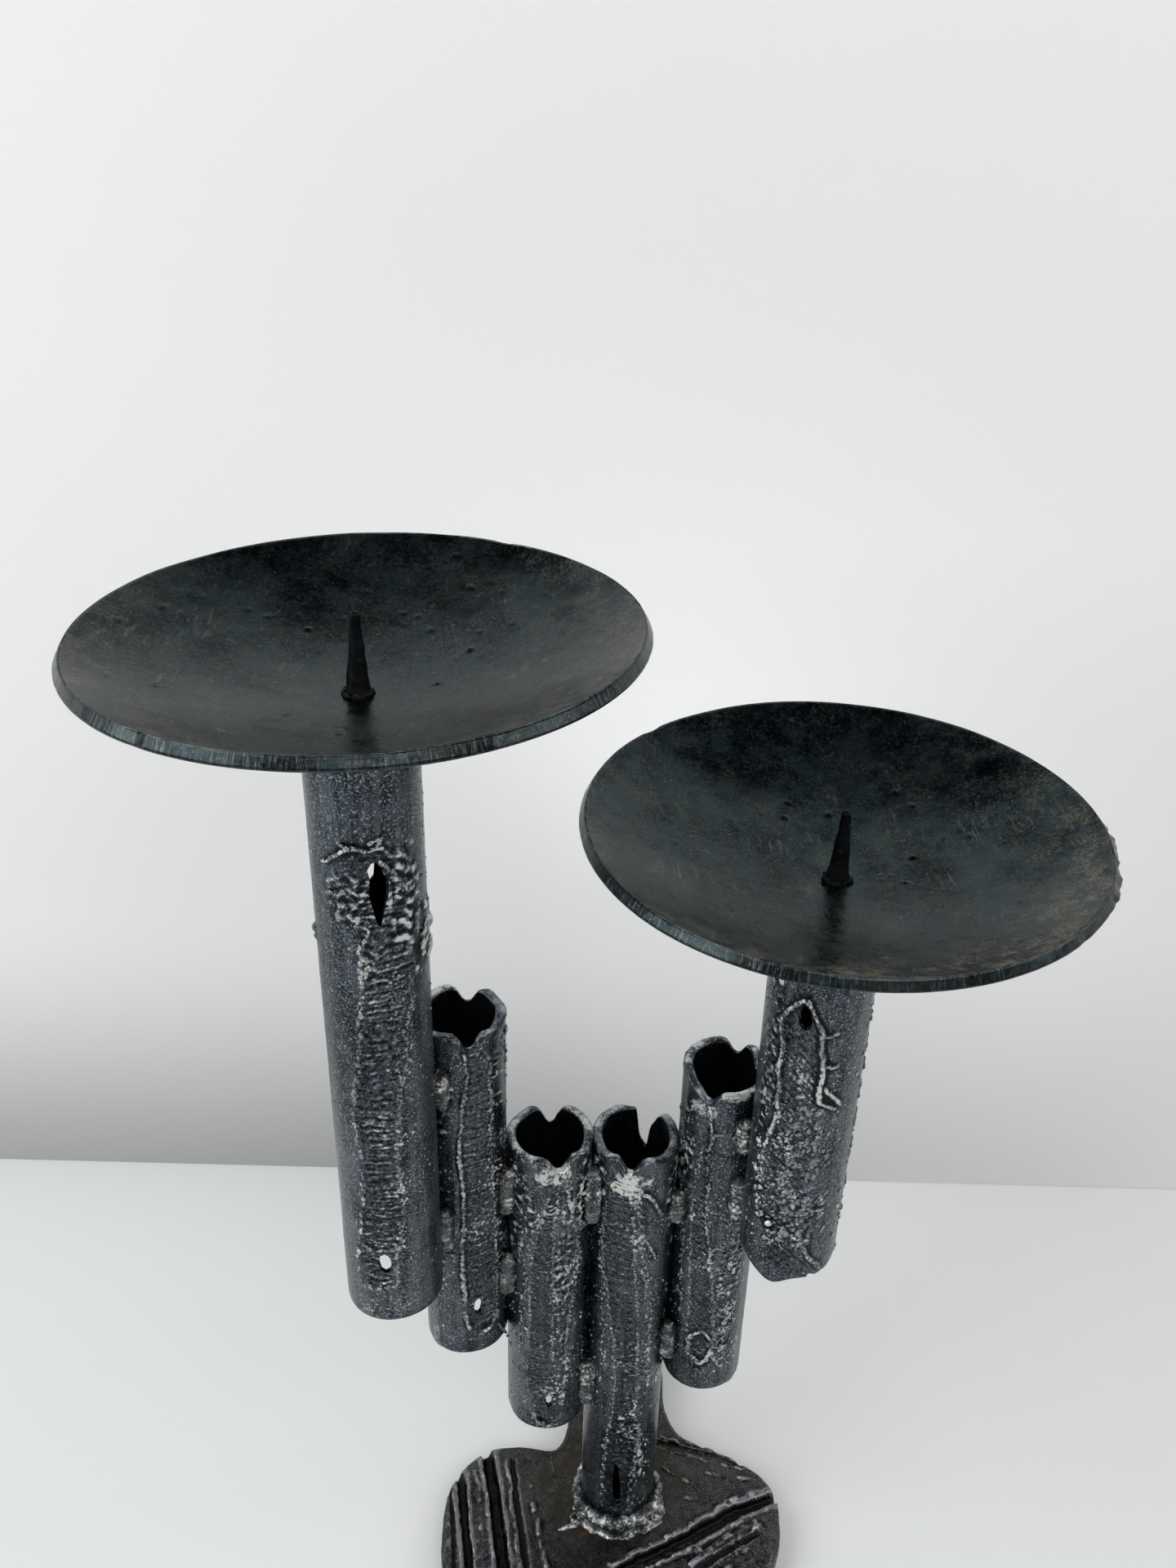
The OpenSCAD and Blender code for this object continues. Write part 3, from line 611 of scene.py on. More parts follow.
# What the torch did to each tube, by its measured angles and heights

LEFT_OUTER_HOLE = [(-1.1, 9.1), (0.4, 9.1), (1.7, 6.3), (3.1, 3.4), (2.9, 0.0), (1.6, -4.8), (0.5, -9.2),
                   (-0.5, -8.0), (-1.4, -3.2), (-2.2, -0.1), (-1.8, 4.9), (-2.5, 7.0)]
STEM_SLOT = [(-1.1, 11.0), (0.3, 8.6), (1.4, 0.2), (1.7, -9.4), (0.1, -10.2), (-1.3, -6.0), (-1.7, 5.2)]
RIGHT_OUTER_HOLE = [(-1.0, 3.8), (0.8, 2.6), (1.9, -0.8), (1.5, -3.0), (0.1, -4.0), (-1.6, -3.0),
                    (-2.2, -0.4)]
# A round hole's outline, as shares of half its width and half its height
ROUND_HOLE_SHARES = [(1.0, 0.0), (0.75, 0.75), (0.0, 1.05), (-0.8, 0.7), (-1.0, 0.0), (-0.7, -0.75),
                     (0.0, -1.0), (0.7, -0.7)]


def hole_like(wide, high):
    """A round burn hole's outline from its width and height in mm."""
    return [(wide / 2 * x, high / 2 * z) for x, z in ROUND_HOLE_SHARES]


def work_behind(face, middle, half, low, high, open_top):
    """The back channels are lined like the front ones, a little plainer."""
    top = high + 15 if open_top else high
    left, right = [(middle - half, low), (middle - half, top)], [(middle + half, low), (middle + half, top)]
    face.channel(left, right, low, top, hollow=0.6, high_run=0 if open_top else 4.0)
    foot = [(middle + half * x, low + 3 - 3.4 * math.sqrt(1 - x * x)) for x in np.linspace(-1, 1, 9)]
    face.slag_line([(middle - half, high)] + foot + [(middle + half, high)], 1.2, (0.36, 0.96), 0.6)
    face.spray(middle - half - 24, middle - half, low, high, 50, (0.24, 0.6))
    face.spray(middle + half, middle + half + 24, low, high, 50, (0.24, 0.6))
    face.crust(middle - half - 40, middle - half, (low + high) / 2, high, 0.6, 1.8, 0.1)


def work_outer_left(face):
    left = [(-6, 288), (-6, 262), (-7.5, 248), (-11.5, 240.2), (-15.4, 228.5), (-24.6, 216.1), (-27.7, 206),
            (-23.2, 197.6), (-22.8, 187.2), (-24.1, 177.8), (-32.2, 167.4), (-34.1, 153), (-33, 146)]
    right = [(38, 288), (46, 270), (51.4, 253.5), (41.4, 239.8), (35.5, 227.8), (26.9, 218), (22.9, 208.6),
             (17.7, 197.7), (20.2, 184.5), (22.4, 173.6), (16.6, 165.8), (9.9, 153.5), (10, 147)]
    face.channel(left, right, 146.5, 288, hollow=0.6, coarse=1.45)
    foot = [(-33.8, 165.6), (-39.3, 154.4), (-38, 149.2), (-34.8, 146), (-21.2, 146.5), (-7.5, 147),
            (5.4, 147.6), (10.6, 149.7), (9.6, 152.4)]
    face.slag_line(left[1:-2] + foot, 1.05, (0.36, 0.96), 0.3)
    face.slag_line(right[2:-1], 1.7, (0.34, 0.84), 0.7)
    face.spray(22, 46, 200, 262, 150, (0.24, 0.58))
    face.spray(14, 34, 150, 200, 70, (0.22, 0.48))
    # Crackled slag above and beside the long hole
    for path, wide, tall in (
            ([(-44.2, 283.2), (-30.9, 284.8), (-19.8, 286.9), (-9.8, 288.7), (2.5, 288), (22.1, 287.9),
              (31, 285), (41.4, 284.8), (48.2, 283.1)], 0.6, 0.8),
            ([(-20.9, 289.6), (-15.4, 288.9), (-9.9, 288.4)], 0.5, 0.6),
            ([(10, 290), (20.9, 290.7), (16.8, 288.8)], 0.5, 0.6),
            ([(-36.8, 275.9), (-25.5, 275.7), (-12.9, 277.8), (-6, 276), (3, 275.5)], 0.6, 0.7),
            ([(-4.5, 267.3), (2.3, 265.2), (-8.3, 259.9), (0.4, 257.3), (-4.8, 251.4)], 0.55, 0.6),
            ([(19.2, 283.5), (30.1, 281.3), (37.8, 278.7), (43.7, 275), (54.2, 275.4)], 0.6, 0.8)):
        face.slag_line(path, 1.3, (0.3, 0.72), 0.3, 0.8 * wide, 0.8 * tall, 0.45)
    face.crust(-42, 2, 266, 282, 0.6, 1.5, 0.05)
    face.crust(26, 66, 256, 288, 0.9, 1.7, 0.15)
    face.crust(60, 106, 250, 268, 1.2, 1.6, 0.3)
    for angle, level, size in ((74.2, 267, 1.2), (94.5, 259.5, 1.6), (94.6, 254, 1.3), (65.4, 256.5, 1.1),
                               (53.8, 251.6, 0.9), (-79.4, 260.1, 1.3), (-80, 257.8, 1.0)):
        face.bead(math.radians(angle), level, size, size, size * 0.8)
    face.scoop(-14, 154, 1.6, 4.0, 1.4)
    face.spray(-75, -34, 155, 285, 60, (0.18, 0.42))
    face.spray(46, 95, 150, 300, 110, (0.22, 0.54))
    work_behind(face, 188, 25, 147.5, 284, False)


def work_inner_left(face):
    left = [(8, 230), (7.5, 213.1), (11.4, 206.6), (3.3, 193.8), (-2.8, 180.4), (0.5, 166.4), (1.4, 151.9),
            (-2.6, 136.9), (-1.5, 121.2), (0.3, 112.9), (2.9, 108.1)]
    right = [(33, 230), (36.7, 211), (41.6, 197.5), (40.6, 184.2), (42.8, 170), (45.1, 155.2), (47.6, 139.8),
             (50.3, 123.7), (47.3, 112.5), (47, 107.8)]
    foot = [(9.5, 105.1), (18, 103.8), (28.4, 103.6), (40, 104.8), (47, 107.8)]
    face.channel(left, right, 103.5, 230, hollow=0.6, high_run=0)
    face.ridge(left[1:] + foot, 0.65, 0.5, 0.6)
    face.slag_line(left[1:] + foot, 0.9, (0.36, 0.84), 0.3)
    face.slag_line(right[1:], 1.6, (0.36, 0.9), 0.6)
    face.slag_line([(50.7, 103.3), (76, 92.2), (90.5, 87)], 0.8, (0.3, 0.6), 0.3, 0.5, 0.5, 0.3)
    for _ in range(26):
        level, start = face.rng.uniform(112, 212), face.rng.uniform(44, 52)
        face.ridge([(start, level), (start + face.rng.uniform(8, 26), level - face.rng.uniform(0, 3))],
                   0.42, face.rng.uniform(0.3, 0.6), 0.5)
    face.scoop(27, 114, 1.6, 3.2, 1.0)
    face.crust(-75, -8, 178, 216, 0.7, 1.8, 0.1)
    face.crust(-70, -6, 120, 176, 0.45, 1.6, 0.05)
    face.spray(-65, -6, 105, 214, 110, (0.24, 0.66))
    face.spray(50, 92, 105, 217, 170, (0.24, 0.66))
    face.spray(58, 92, 105, 217, 60, (0.45, 0.9), (0.0, 0.4))
    for angle, level, size in ((84, 213, 1.1), (86, 202, 0.9), (85, 207, 0.7)):
        face.bead(math.radians(angle), level, size, size * 0.8, size)
    face.whiten(20, 212, 4.5, 3.5, 0.25)
    work_behind(face, 169, 28, 107, 212, True)


def work_centre_left(face):
    left = [(0, 190), (0.9, 169.7), (-2.5, 160.8), (-13.6, 149.2), (-23.5, 139.2), (-27.6, 130.4),
            (-28.3, 111.7), (-30.8, 85.3), (-24, 68), (-18, 63)]
    right = [(18, 190), (17, 172), (10.9, 160.5), (5.7, 149.4), (4.4, 137.7), (4.8, 113.2), (5.2, 87.1),
             (16, 72), (14, 63)]
    face.channel(left, right, 61, 190, hollow=0.5, high_run=0, coarse=0.9)
    outer = [(18, 168), (30.1, 153.2), (38, 146.4), (44.8, 135.8), (43, 127.6), (33.6, 116.8), (27.5, 104.9),
             (25.4, 85.4), (22, 70)]
    face.slag_line(left[1:-2], 1.0, (0.3, 0.72), 0.35)
    face.slag_line(right[1:-2], 1.0, (0.3, 0.66), 0.4)
    face.slag_line(outer, 1.6, (0.36, 0.84), 0.5, 0.6, 0.4, 0.7)
    face.crust(4, 44, 84, 162, 0.5, 1.5, 0.15)
    face.slag_line([(-13.7, 153.8), (-23.6, 146.2), (-27.7, 137.6), (-42, 109.8), (-48, 89.1)], 1.0,
                   (0.36, 0.84), 0.5)
    face.slag_line([(-21.3, 65.3), (-14.9, 61.8), (-4.6, 59.8), (11.7, 61), (20, 63.6)], 2.0, (0.35, 0.85),
                   1.0, 0.8, 0.6, 0.8)
    face.crust(-80, -20, 132, 172, 0.6, 1.7, 0.15)
    face.crust(38, 80, 140, 172, 0.9, 1.8, 0.3)
    face.spray(6, 42, 76, 166, 190, (0.24, 0.66))
    face.spray(-75, -20, 64, 170, 120, (0.24, 0.66))
    face.spray(42, 85, 64, 170, 90, (0.24, 0.66))
    face.whiten(4, 168, 7.5, 4.5, 0.8)
    face.whiten(-32, 172, 5.5, 1.6, 0.4)
    work_behind(face, 178, 28, 68, 168, True)


def work_stem(face):
    left = [(-36, 190), (-35, 163.6), (-47.1, 150.5), (-49.2, 138.4), (-45.5, 126.9), (-36.1, 116),
            (-24.1, 98.2), (-18.6, 77.2), (-20.8, 61), (-26.1, 53.7), (-29, 43.8), (-31.4, 29.5), (-31, 14)]
    right = [(-3, 190), (-3.7, 165.6), (-4.3, 148.6), (0.9, 130.8), (8.6, 112), (13, 90), (15.6, 77.2),
             (12.8, 64), (24.6, 49.3), (22, 40.1), (12.7, 31.3), (12, 14)]
    face.channel(left, right, 13, 190, hollow=0.55, high_run=0, coarse=1.0)
    face.slag_line(left[1:], 1.1, (0.3, 0.78), 0.4)
    face.slag_line(right[1:], 1.1, (0.3, 0.78), 0.4)
    face.slag_line([(-55.5, 149), (-52, 131.9), (-44.9, 114.6), (-41, 101.1), (-35.6, 83.4)], 0.9,
                   (0.36, 0.84), 0.6)
    face.slag_line([(1.2, 160), (5.4, 148.5), (11.9, 136.4), (16.6, 124), (28.7, 111.4), (29.1, 90.5),
                    (30.4, 75.3)], 1.8, (0.36, 0.9), 0.7)
    face.slag_line([(0.8, 162.3), (17.1, 159.4), (38.1, 150.2)], 1.2, (0.3, 0.66), 0.3, 0.6, 0.6, 0.3)
    face.slag_line([(14.8, 142.2), (24.4, 137.8), (30.2, 133.5)], 1.2, (0.3, 0.66), 0.3, 0.6, 0.6, 0.3)
    # Slag crosses the channel where the torch was set down again
    face.slag_line([(-18, 55.9), (-6.2, 57.9), (7, 51), (24.3, 50.7)], 1.1, (0.3, 0.8), 1.3, 0.9, 0.55, 0.9,
                   (0.0, 0.3))
    face.crust(-22, 26, 48, 64, 0.8, 1.5, 0.15)
    face.crust(14, 34, 24, 46, 0.7, 1.6, 0.3)
    face.crust(44, 85, 130, 170, 0.7, 1.8, 0.2)
    face.crust(-90, -46, 140, 172, 0.8, 1.8, 0.25)
    face.spray(16, 70, 60, 168, 190, (0.24, 0.66))
    face.spray(-80, -40, 60, 170, 110, (0.24, 0.6))
    face.spray(14, 46, 14, 56, 70, (0.24, 0.6))
    face.whiten(-14, 163, 6.5, 6.5, 0.75)
    work_behind(face, 170, 25, 20, 166, True)


def work_inner_right(face):
    left = [(-33, 215), (-32, 190), (-36, 176), (-43, 162), (-44, 150), (-41, 136), (-38, 118), (-35, 102.4),
            (-33, 90), (-30, 84)]
    right = [(-22, 215), (-24.2, 181.7), (-27, 172), (-22.3, 160.8), (-20, 147.1), (-13.3, 135.6),
             (-3.7, 117.5), (4.6, 98.2), (4, 90), (0, 84)]
    face.channel(left, right, 84, 215, hollow=0.6, high_run=0, slant=0.5, coarse=1.1)
    face.slag_line([(-85.7, 183.1), (-74.1, 176.3), (-76.7, 161.8), (-62.8, 150.2), (-56.8, 136.5),
                    (-53.5, 121.8), (-50.2, 106.5)], 1.7, (0.36, 0.84), 0.6)
    face.slag_line(left[2:-1], 1.2, (0.3, 0.72), 0.4)
    face.slag_line([(-30.8, 191.8), (-24.2, 181.7), (-27, 175.2), (-26.8, 169.7), (-22.3, 160.8),
                    (-21, 151.3)], 1.0, (0.3, 0.66), 0.4, 0.55, 0.45, 0.8, (0.0, 0.3))
    face.slag_line(right[4:-2], 1.6, (0.3, 0.72), 0.6)
    face.slag_line([(-26.5, 178.9), (-19.5, 182.1), (1.7, 183.5), (24.1, 177.9)], 0.8, (0.24, 0.6), 0.5,
                   0.5, 0.35, 0.9, (0.0, 0.2))
    face.slag_line([(-14.9, 131.9), (-11.6, 137.1), (-3.8, 138.3), (4.9, 137.2)], 0.8, (0.24, 0.6), 0.5,
                   0.5, 0.35, 0.9, (0.0, 0.2))
    turns = np.linspace(0.75, 2 * math.pi - 0.15, 19)
    ring = [(-15 + 18 * math.cos(t), 93.5 + 6.5 * math.sin(t)) for t in turns]
    face.slag_line(ring, 0.7, (0.3, 0.6), 0.4, 0.9, 0.55, 0.35, (0.0, 0.2))
    face.scoop(-16, 94.8, 2.5, 3.2, 2.0)
    face.crust(2, 40, 84, 150, 0.6, 1.4, 0.15)
    face.crust(14, 70, 150, 190, 0.5, 1.9, 0.1)
    face.crust(-85, -48, 150, 190, 0.5, 1.8, 0.15)
    face.spray(0, 36, 80, 150, 260, (0.3, 0.72))
    face.spray(-24, 40, 150, 190, 90, (0.24, 0.54))
    face.spray(-75, -44, 82, 190, 120, (0.24, 0.6))
    face.whiten(-38, 190, 5.0, 3.2, 0.6)
    face.whiten(0, 196, 6.0, 1.2, 0.5)
    work_behind(face, 155, 25, 92, 192, True)


def work_outer_right(face):
    left = [(-46, 247), (-57.2, 235.2), (-51.6, 231.5), (-48.2, 228.1), (-49.1, 223.4), (-53.1, 221.2),
            (-49.2, 217), (-46.2, 214.3), (-49, 209.8), (-46, 207), (-47.2, 202.7), (-53.3, 197.6),
            (-60, 190), (-62, 176), (-54, 168), (-42, 162), (-34, 152)]
    right = [(-14.8, 247), (-8.1, 235.3), (-7.7, 231.5), (-3, 227), (-2.9, 223.9), (-3.2, 220),
             (-2.2, 216.9), (-1.9, 213.3), (-0.4, 207.3), (2.8, 203.1), (3.8, 198.1), (-1.7, 192.3),
             (4.8, 187.1), (0.5, 181.1), (-2.7, 175.8), (-4, 166), (-8, 152)]
    face.channel(left, right, 152, 247, hollow=0.6, slant=1.0, coarse=1.15)
    # The light threads of slag that frame the hole and run down both edges
    face.slag_line([(-38, 241.6), (-33, 243.6), (-26, 243.4), (-17, 239.6)] + right[1:8], 0.9, (0.24, 0.6),
                   0.3, 0.75, 0.85, 0.1)
    face.slag_line([(-38, 241.6), (-46, 239.5)] + left[1:12], 0.9, (0.3, 0.66), 0.3, 0.65, 0.6, 0.3)
    for path in ([(-7.8, 234.6), (2.4, 234.6), (8.7, 235.2)], [(-3.6, 225.5), (6.2, 224.2), (13.1, 224.4)],
                 [(-1.7, 212.9), (8.4, 211.5), (17.8, 210.2)], [(2.7, 217.6), (12.3, 215), (23.4, 211.4)]):
        face.slag_line(path, 0.6, (0.24, 0.48), 0.2, 0.55, 0.6, 0.1, (0.7, 1.0))
    face.slag_line(left[11:-2], 1.4, (0.36, 0.9), 0.5)
    face.slag_line(right[8:-1], 1.6, (0.3, 0.84), 0.6)
    for angle, level in ((-67.6, 192.8), (-66.3, 183.1), (-60.4, 177.2), (-53.7, 168.6), (-41.9, 166.2)):
        face.bead(math.radians(angle), level, 1.1, 0.9, 0.8)
    face.scoop(-28, 237.6, 3.3, 5.4, 1.7)
    # Short slanted drops cover the lower part of the channel
    face.spray(-52, 0, 160, 214, 200, (0.4, 0.7), (0.0, 0.0), tilt=0.9, length=(1.5, 2.6))
    face.spray(-30, 26, 160, 200, 90, (0.4, 0.7), (0.0, 0.1), tilt=0.9, length=(1.2, 2.2))
    face.spray(66, 100, 150, 262, 70, (0.5, 1.0), (0.0, 0.4))
    face.crust(-80, -50, 200, 262, 0.6, 1.5, 0.15)
    face.crust(-20, 24, 160, 190, 0.5, 1.2, 0.1)
    face.spray(0, 44, 196, 262, 120, (0.24, 0.6))
    face.spray(-92, -52, 150, 262, 150, (0.24, 0.6))
    face.spray(44, 104, 152, 262, 130, (0.24, 0.72))
    for level in (166, 172, 178, 184, 190, 197, 203, 214):
        face.bead(math.radians(88 + level % 7), level, 0.9, 0.7, 0.9)
    # The scoop across the foot, from its left down to its right
    face.scoop(-3, 154.6, 6.2, 2.6, 1.7, slope=0.95)
    face.slag_line([(-24, 165.5), (-3.2, 164.1), (11.5, 157.2), (33.1, 149.8)], 1.2, (0.3, 0.72), 0.4, 0.7,
                   0.6, 0.3)
    face.whiten(12, 157, 5.0, 1.8, 0.3)
    work_behind(face, 153, 25, 155, 243, False)


TUBES = {
    "outer_left": dict(
        node="outer_tube_left", at=OUTER_LEFT_AT, radius=OUTER_R, seed=11, work=work_outer_left,
        touches=(132,),
        front_mid=8, open_top=False,
        holes=[(15, 274.5, LEFT_OUTER_HOLE), (190, 272, hole_like(5.2, 15.6)),
               (-5, 155, hole_like(4.4, 6.8))],
        rim=[], foot=[(20, 16, 0.5, 1)]),
    "inner_left": dict(
        node="inner_tube_left", at=INNER_LEFT_AT, radius=INNER_R, seed=23, work=work_inner_left,
        touches=(-48, 90),
        front_mid=15,
        holes=[(20, 114, hole_like(3.1, 6.2))],
        rim=[(15, 6.4, 5.0, 1.2), (170, 6.0, 4.6, 1.2), (58, 9, 1.8, 1), (-58, 12, 1.2, 1), (118, 7, 0.9, 1),
             (-125, 8, 1.4, 1)],
        foot=[(10, 14, 0.5, 1)]),
    "centre_left": dict(
        node="centre_tube_left", at=CENTRE_LEFT_AT, radius=INNER_R, seed=37, work=work_centre_left,
        touches=(-90, 90),
        front_mid=2,
        holes=[(2, 70.3, hole_like(2.6, 5.5))],
        rim=[(13, 6.6, 4.6, 1.3), (178, 5.8, 5.6, 1.2), (62, 10, 1.8, 1), (-40, 16, 0.8, 1),
             (-128, 8, 1.0, 1)],
        foot=[(-8, 12, 0.6, 1)]),
    "stem": dict(
        node="stem_tube", at=STEM_AT, radius=INNER_R, seed=41, work=work_stem,
        touches=(-90, 90),
        front_mid=-10,
        holes=[(-8, 26, STEM_SLOT)],
        rim=[(-13, 6.2, 4.8, 1.2), (161, 4.4, 10.4, 2.2), (150, 5.0, 5.2, 1.2), (50, 14, 1.8, 1),
             (-60, 9, 1.6, 1), (90, 6, 0.7, 1)],
        foot=[], foot_wobble=0.0),
    "inner_right": dict(
        node="inner_tube_right", at=INNER_RIGHT_AT, radius=INNER_R, seed=53, work=work_inner_right,
        touches=(-90, 42),
        front_mid=-21,
        holes=[],
        rim=[(-34, 6.4, 4.2, 1.2), (156, 5.0, 3.6, 1.3), (102, 9.5, 5.4, 2.0), (-58, 7, 2.0, 1),
             (-4, 12, 1.4, 1), (40, 14, 1.0, 1)],
        foot=[(15, 14, 0.6, 1)]),
    "outer_right": dict(
        node="outer_tube_right", at=OUTER_RIGHT_AT, radius=OUTER_R, seed=67, work=work_outer_right,
        touches=(-138,),
        front_mid=-27, open_top=False,
        holes=[(-28, 238, RIGHT_OUTER_HOLE)],
        rim=[], foot=[(-80, 16, 4.8, 1), (32, 22, 4.1, 3), (95, 14, 4.0, 1)],
        foot_wobble=0.3),
}


# Shader nodes and the effects that several finishes share

def add_node(tree, kind, settings=None, sockets=None):
    """Adds a node. A socket takes a number, a colour or another node's output."""
    made = tree.nodes.new(kind)
    for key, value in (settings or {}).items():
        setattr(made, key, value)
    for key, value in (sockets or {}).items():
        socket = made.inputs[key]
        if isinstance(value, bpy.types.NodeSocket):
            tree.links.new(value, socket)
        else:
            socket.default_value = value
    return made


def maths(tree, operation, *values):
    return add_node(tree, "ShaderNodeMath", {"operation": operation}, dict(enumerate(values))).outputs[0]


def times(tree, first, second):
    return maths(tree, "MULTIPLY", first, second)


def plus(tree, first, second):
    return maths(tree, "ADD", first, second)


def minus(tree, first, second):
    return maths(tree, "SUBTRACT", first, second)


def times_plus(tree, first, second, third):
    return maths(tree, "MULTIPLY_ADD", first, second, third)


def blend_colour(tree, share, below, above):
    made = add_node(tree, "ShaderNodeMix", {"data_type": "RGBA"}, {0: share, 6: below, 7: above})
    return made.outputs[2]


def between(tree, value, low, high, new_low=0.0, new_high=1.0, course="SMOOTHSTEP"):
    """A value taken from one range to another, and held at its ends."""
    made = add_node(tree, "ShaderNodeMapRange", {"interpolation_type": course},
                    {"Value": value, "From Min": low, "From Max": high, "To Min": new_low,
                     "To Max": new_high})
    return made.outputs["Result"]


def noise_at(tree, coords, scale, detail=3.0, rough=0.55):
    made = add_node(tree, "ShaderNodeTexNoise", None,
                    {"Vector": coords, "Scale": scale, "Detail": detail, "Roughness": rough})
    return made.outputs["Fac"]


def stretched(tree, coords, scale):
    made = add_node(tree, "ShaderNodeMapping", None, {"Vector": coords, "Scale": scale})
    return made.outputs["Vector"]


def shader_group(name, inputs, outputs):
    """An empty node group with named sockets, and its two ends."""
    group = bpy.data.node_groups.new(name, "ShaderNodeTree")
    for label, kind, value in inputs:
        socket = group.interface.new_socket(name=label, in_out="INPUT", socket_type="NodeSocket" + kind)
        if value is not None:
            socket.default_value = value
    for label, kind in outputs:
        group.interface.new_socket(name=label, in_out="OUTPUT", socket_type="NodeSocket" + kind)
    start = group.nodes.new("NodeGroupInput")
    end = group.nodes.new("NodeGroupOutput")
    return group, start.outputs, end.inputs


def make_grain():
    """Rolled-steel grain: fine speckle, streaks along the tube and soft clouds."""
    group, given, made = shader_group(
        "steel_grain",
        [("Coordinates", "Vector", None), ("Speckle Scale", "Float", 1400.0),
         ("Cloud Scale", "Float", 90.0), ("Streak Scale", "Float", 420.0)],
        [("Tone", "Float"), ("Height", "Float")])
    speckle = noise_at(group, given["Coordinates"], given["Speckle Scale"], 4.0, 0.65)
    cloud = noise_at(group, given["Coordinates"], given["Cloud Scale"], 5.0, 0.6)
    along = stretched(group, given["Coordinates"], (1.0, 1.0, 0.07))
    streak = noise_at(group, along, given["Streak Scale"], 3.0, 0.6)
    tone = times_plus(group, speckle, 0.34, times(group, cloud, 0.36))
    total = plus(group, tone, times(group, streak, 0.3))
    group.links.new(between(group, total, 0.40, 0.60), made["Tone"])
    height = plus(group, times(group, speckle, 0.7), times(group, streak, 0.5))
    group.links.new(height, made["Height"])
    return group


def make_dry_brush():
    """Pale metal paint that a dry brush left on whatever stands proud."""
    group, given, made = shader_group(
        "dry_brush",
        [("Coordinates", "Vector", None), ("Colour", "Color", (0.03, 0.03, 0.04, 1)),
         ("Brush Colour", "Color", (0.55, 0.56, 0.53, 1)), ("Relief", "Float", 0.0), ("Slag", "Float", 0.0),
         ("Channel", "Float", 0.0), ("Cover", "Float", 0.0), ("Break Up", "Float", 1100.0)],
        [("Colour", "Color"), ("Mask", "Float")])
    torn = noise_at(group, given["Coordinates"], given["Break Up"], 3.0, 0.7)
    wide = noise_at(group, given["Coordinates"], 75.0, 3.0, 0.55)
    wide = minus(group, times(group, wide, 2.0), 2.3)
    held = plus(group, times(group, torn, 2.6), wide)
    for name, weight in (("Relief", 0.42), ("Slag", 0.36), ("Channel", 0.06), ("Cover", 1.0)):
        held = plus(group, held, times(group, given[name], weight))
    mask = between(group, held, 0.0, 0.6)
    group.links.new(mask, made["Mask"])
    group.links.new(blend_colour(group, mask, given["Colour"], given["Brush Colour"]), made["Colour"])
    return group


def make_patches():
    """Patches of another colour, such as dust or rust, with ragged borders."""
    group, given, made = shader_group(
        "patches",
        [("Coordinates", "Vector", None), ("Colour", "Color", (0.03, 0.03, 0.04, 1)),
         ("Patch Colour", "Color", (0.1, 0.08, 0.05, 1)), ("Scale", "Float", 120.0), ("Cover", "Float", 0.3)],
        [("Colour", "Color"), ("Mask", "Float")])
    cloud = noise_at(group, given["Coordinates"], given["Scale"], 6.0, 0.65)
    level = minus(group, plus(group, cloud, given["Cover"]), 0.72)
    mask = between(group, level, 0.0, 0.16)
    group.links.new(mask, made["Mask"])
    group.links.new(blend_colour(group, mask, given["Colour"], given["Patch Colour"]), made["Colour"])
    return group


GRAIN = make_grain()
DRY_BRUSH = make_dry_brush()
PATCHES = make_patches()


def use_group(tree, group, sockets):
    return add_node(tree, "ShaderNodeGroup", {"node_tree": group}, sockets).outputs


def attribute(tree, name):
    return add_node(tree, "ShaderNodeAttribute", {"attribute_name": name}).outputs["Fac"]


def new_material(name, slot_colour):
    """A material with its shader, its output and the piece's own coordinates."""
    material = bpy.data.materials.new(name)
    material.use_nodes = True
    material.diffuse_color = (*slot_colour, 1)
    tree = material.node_tree
    tree.nodes.clear()
    shader = tree.nodes.new("ShaderNodeBsdfPrincipled")
    output = tree.nodes.new("ShaderNodeOutputMaterial")
    tree.links.new(shader.outputs[0], output.inputs["Surface"])
    coords = tree.nodes.new("ShaderNodeTexCoord").outputs["Object"]
    return material, tree, shader, coords


def plug(tree, shader, **values):
    """Sets or links the shader's sockets by name, with _ for each space."""
    for key, value in values.items():
        socket = shader.inputs[key.replace("_", " ")]
        if isinstance(value, bpy.types.NodeSocket):
            tree.links.new(value, socket)
        else:
            socket.default_value = value


def bumped(tree, height, strength, distance_mm):
    sockets = {"Height": height, "Strength": strength, "Distance": distance_mm * MM}
    return add_node(tree, "ShaderNodeBump", None, sockets).outputs["Normal"]


RUST = (0.16, 0.062, 0.028, 1)
OLIVE_STAIN = (0.030, 0.025, 0.017, 1)
DUST = (0.165, 0.138, 0.090, 1)
BARE_STEEL = (0.12, 0.13, 0.13, 1)
SCRATCHED_STEEL = (0.14, 0.145, 0.14, 1)


def toned(colour, share):
    """A colour made lighter or darker, with its alpha."""
    return tuple(share * c for c in colour) + (1,)


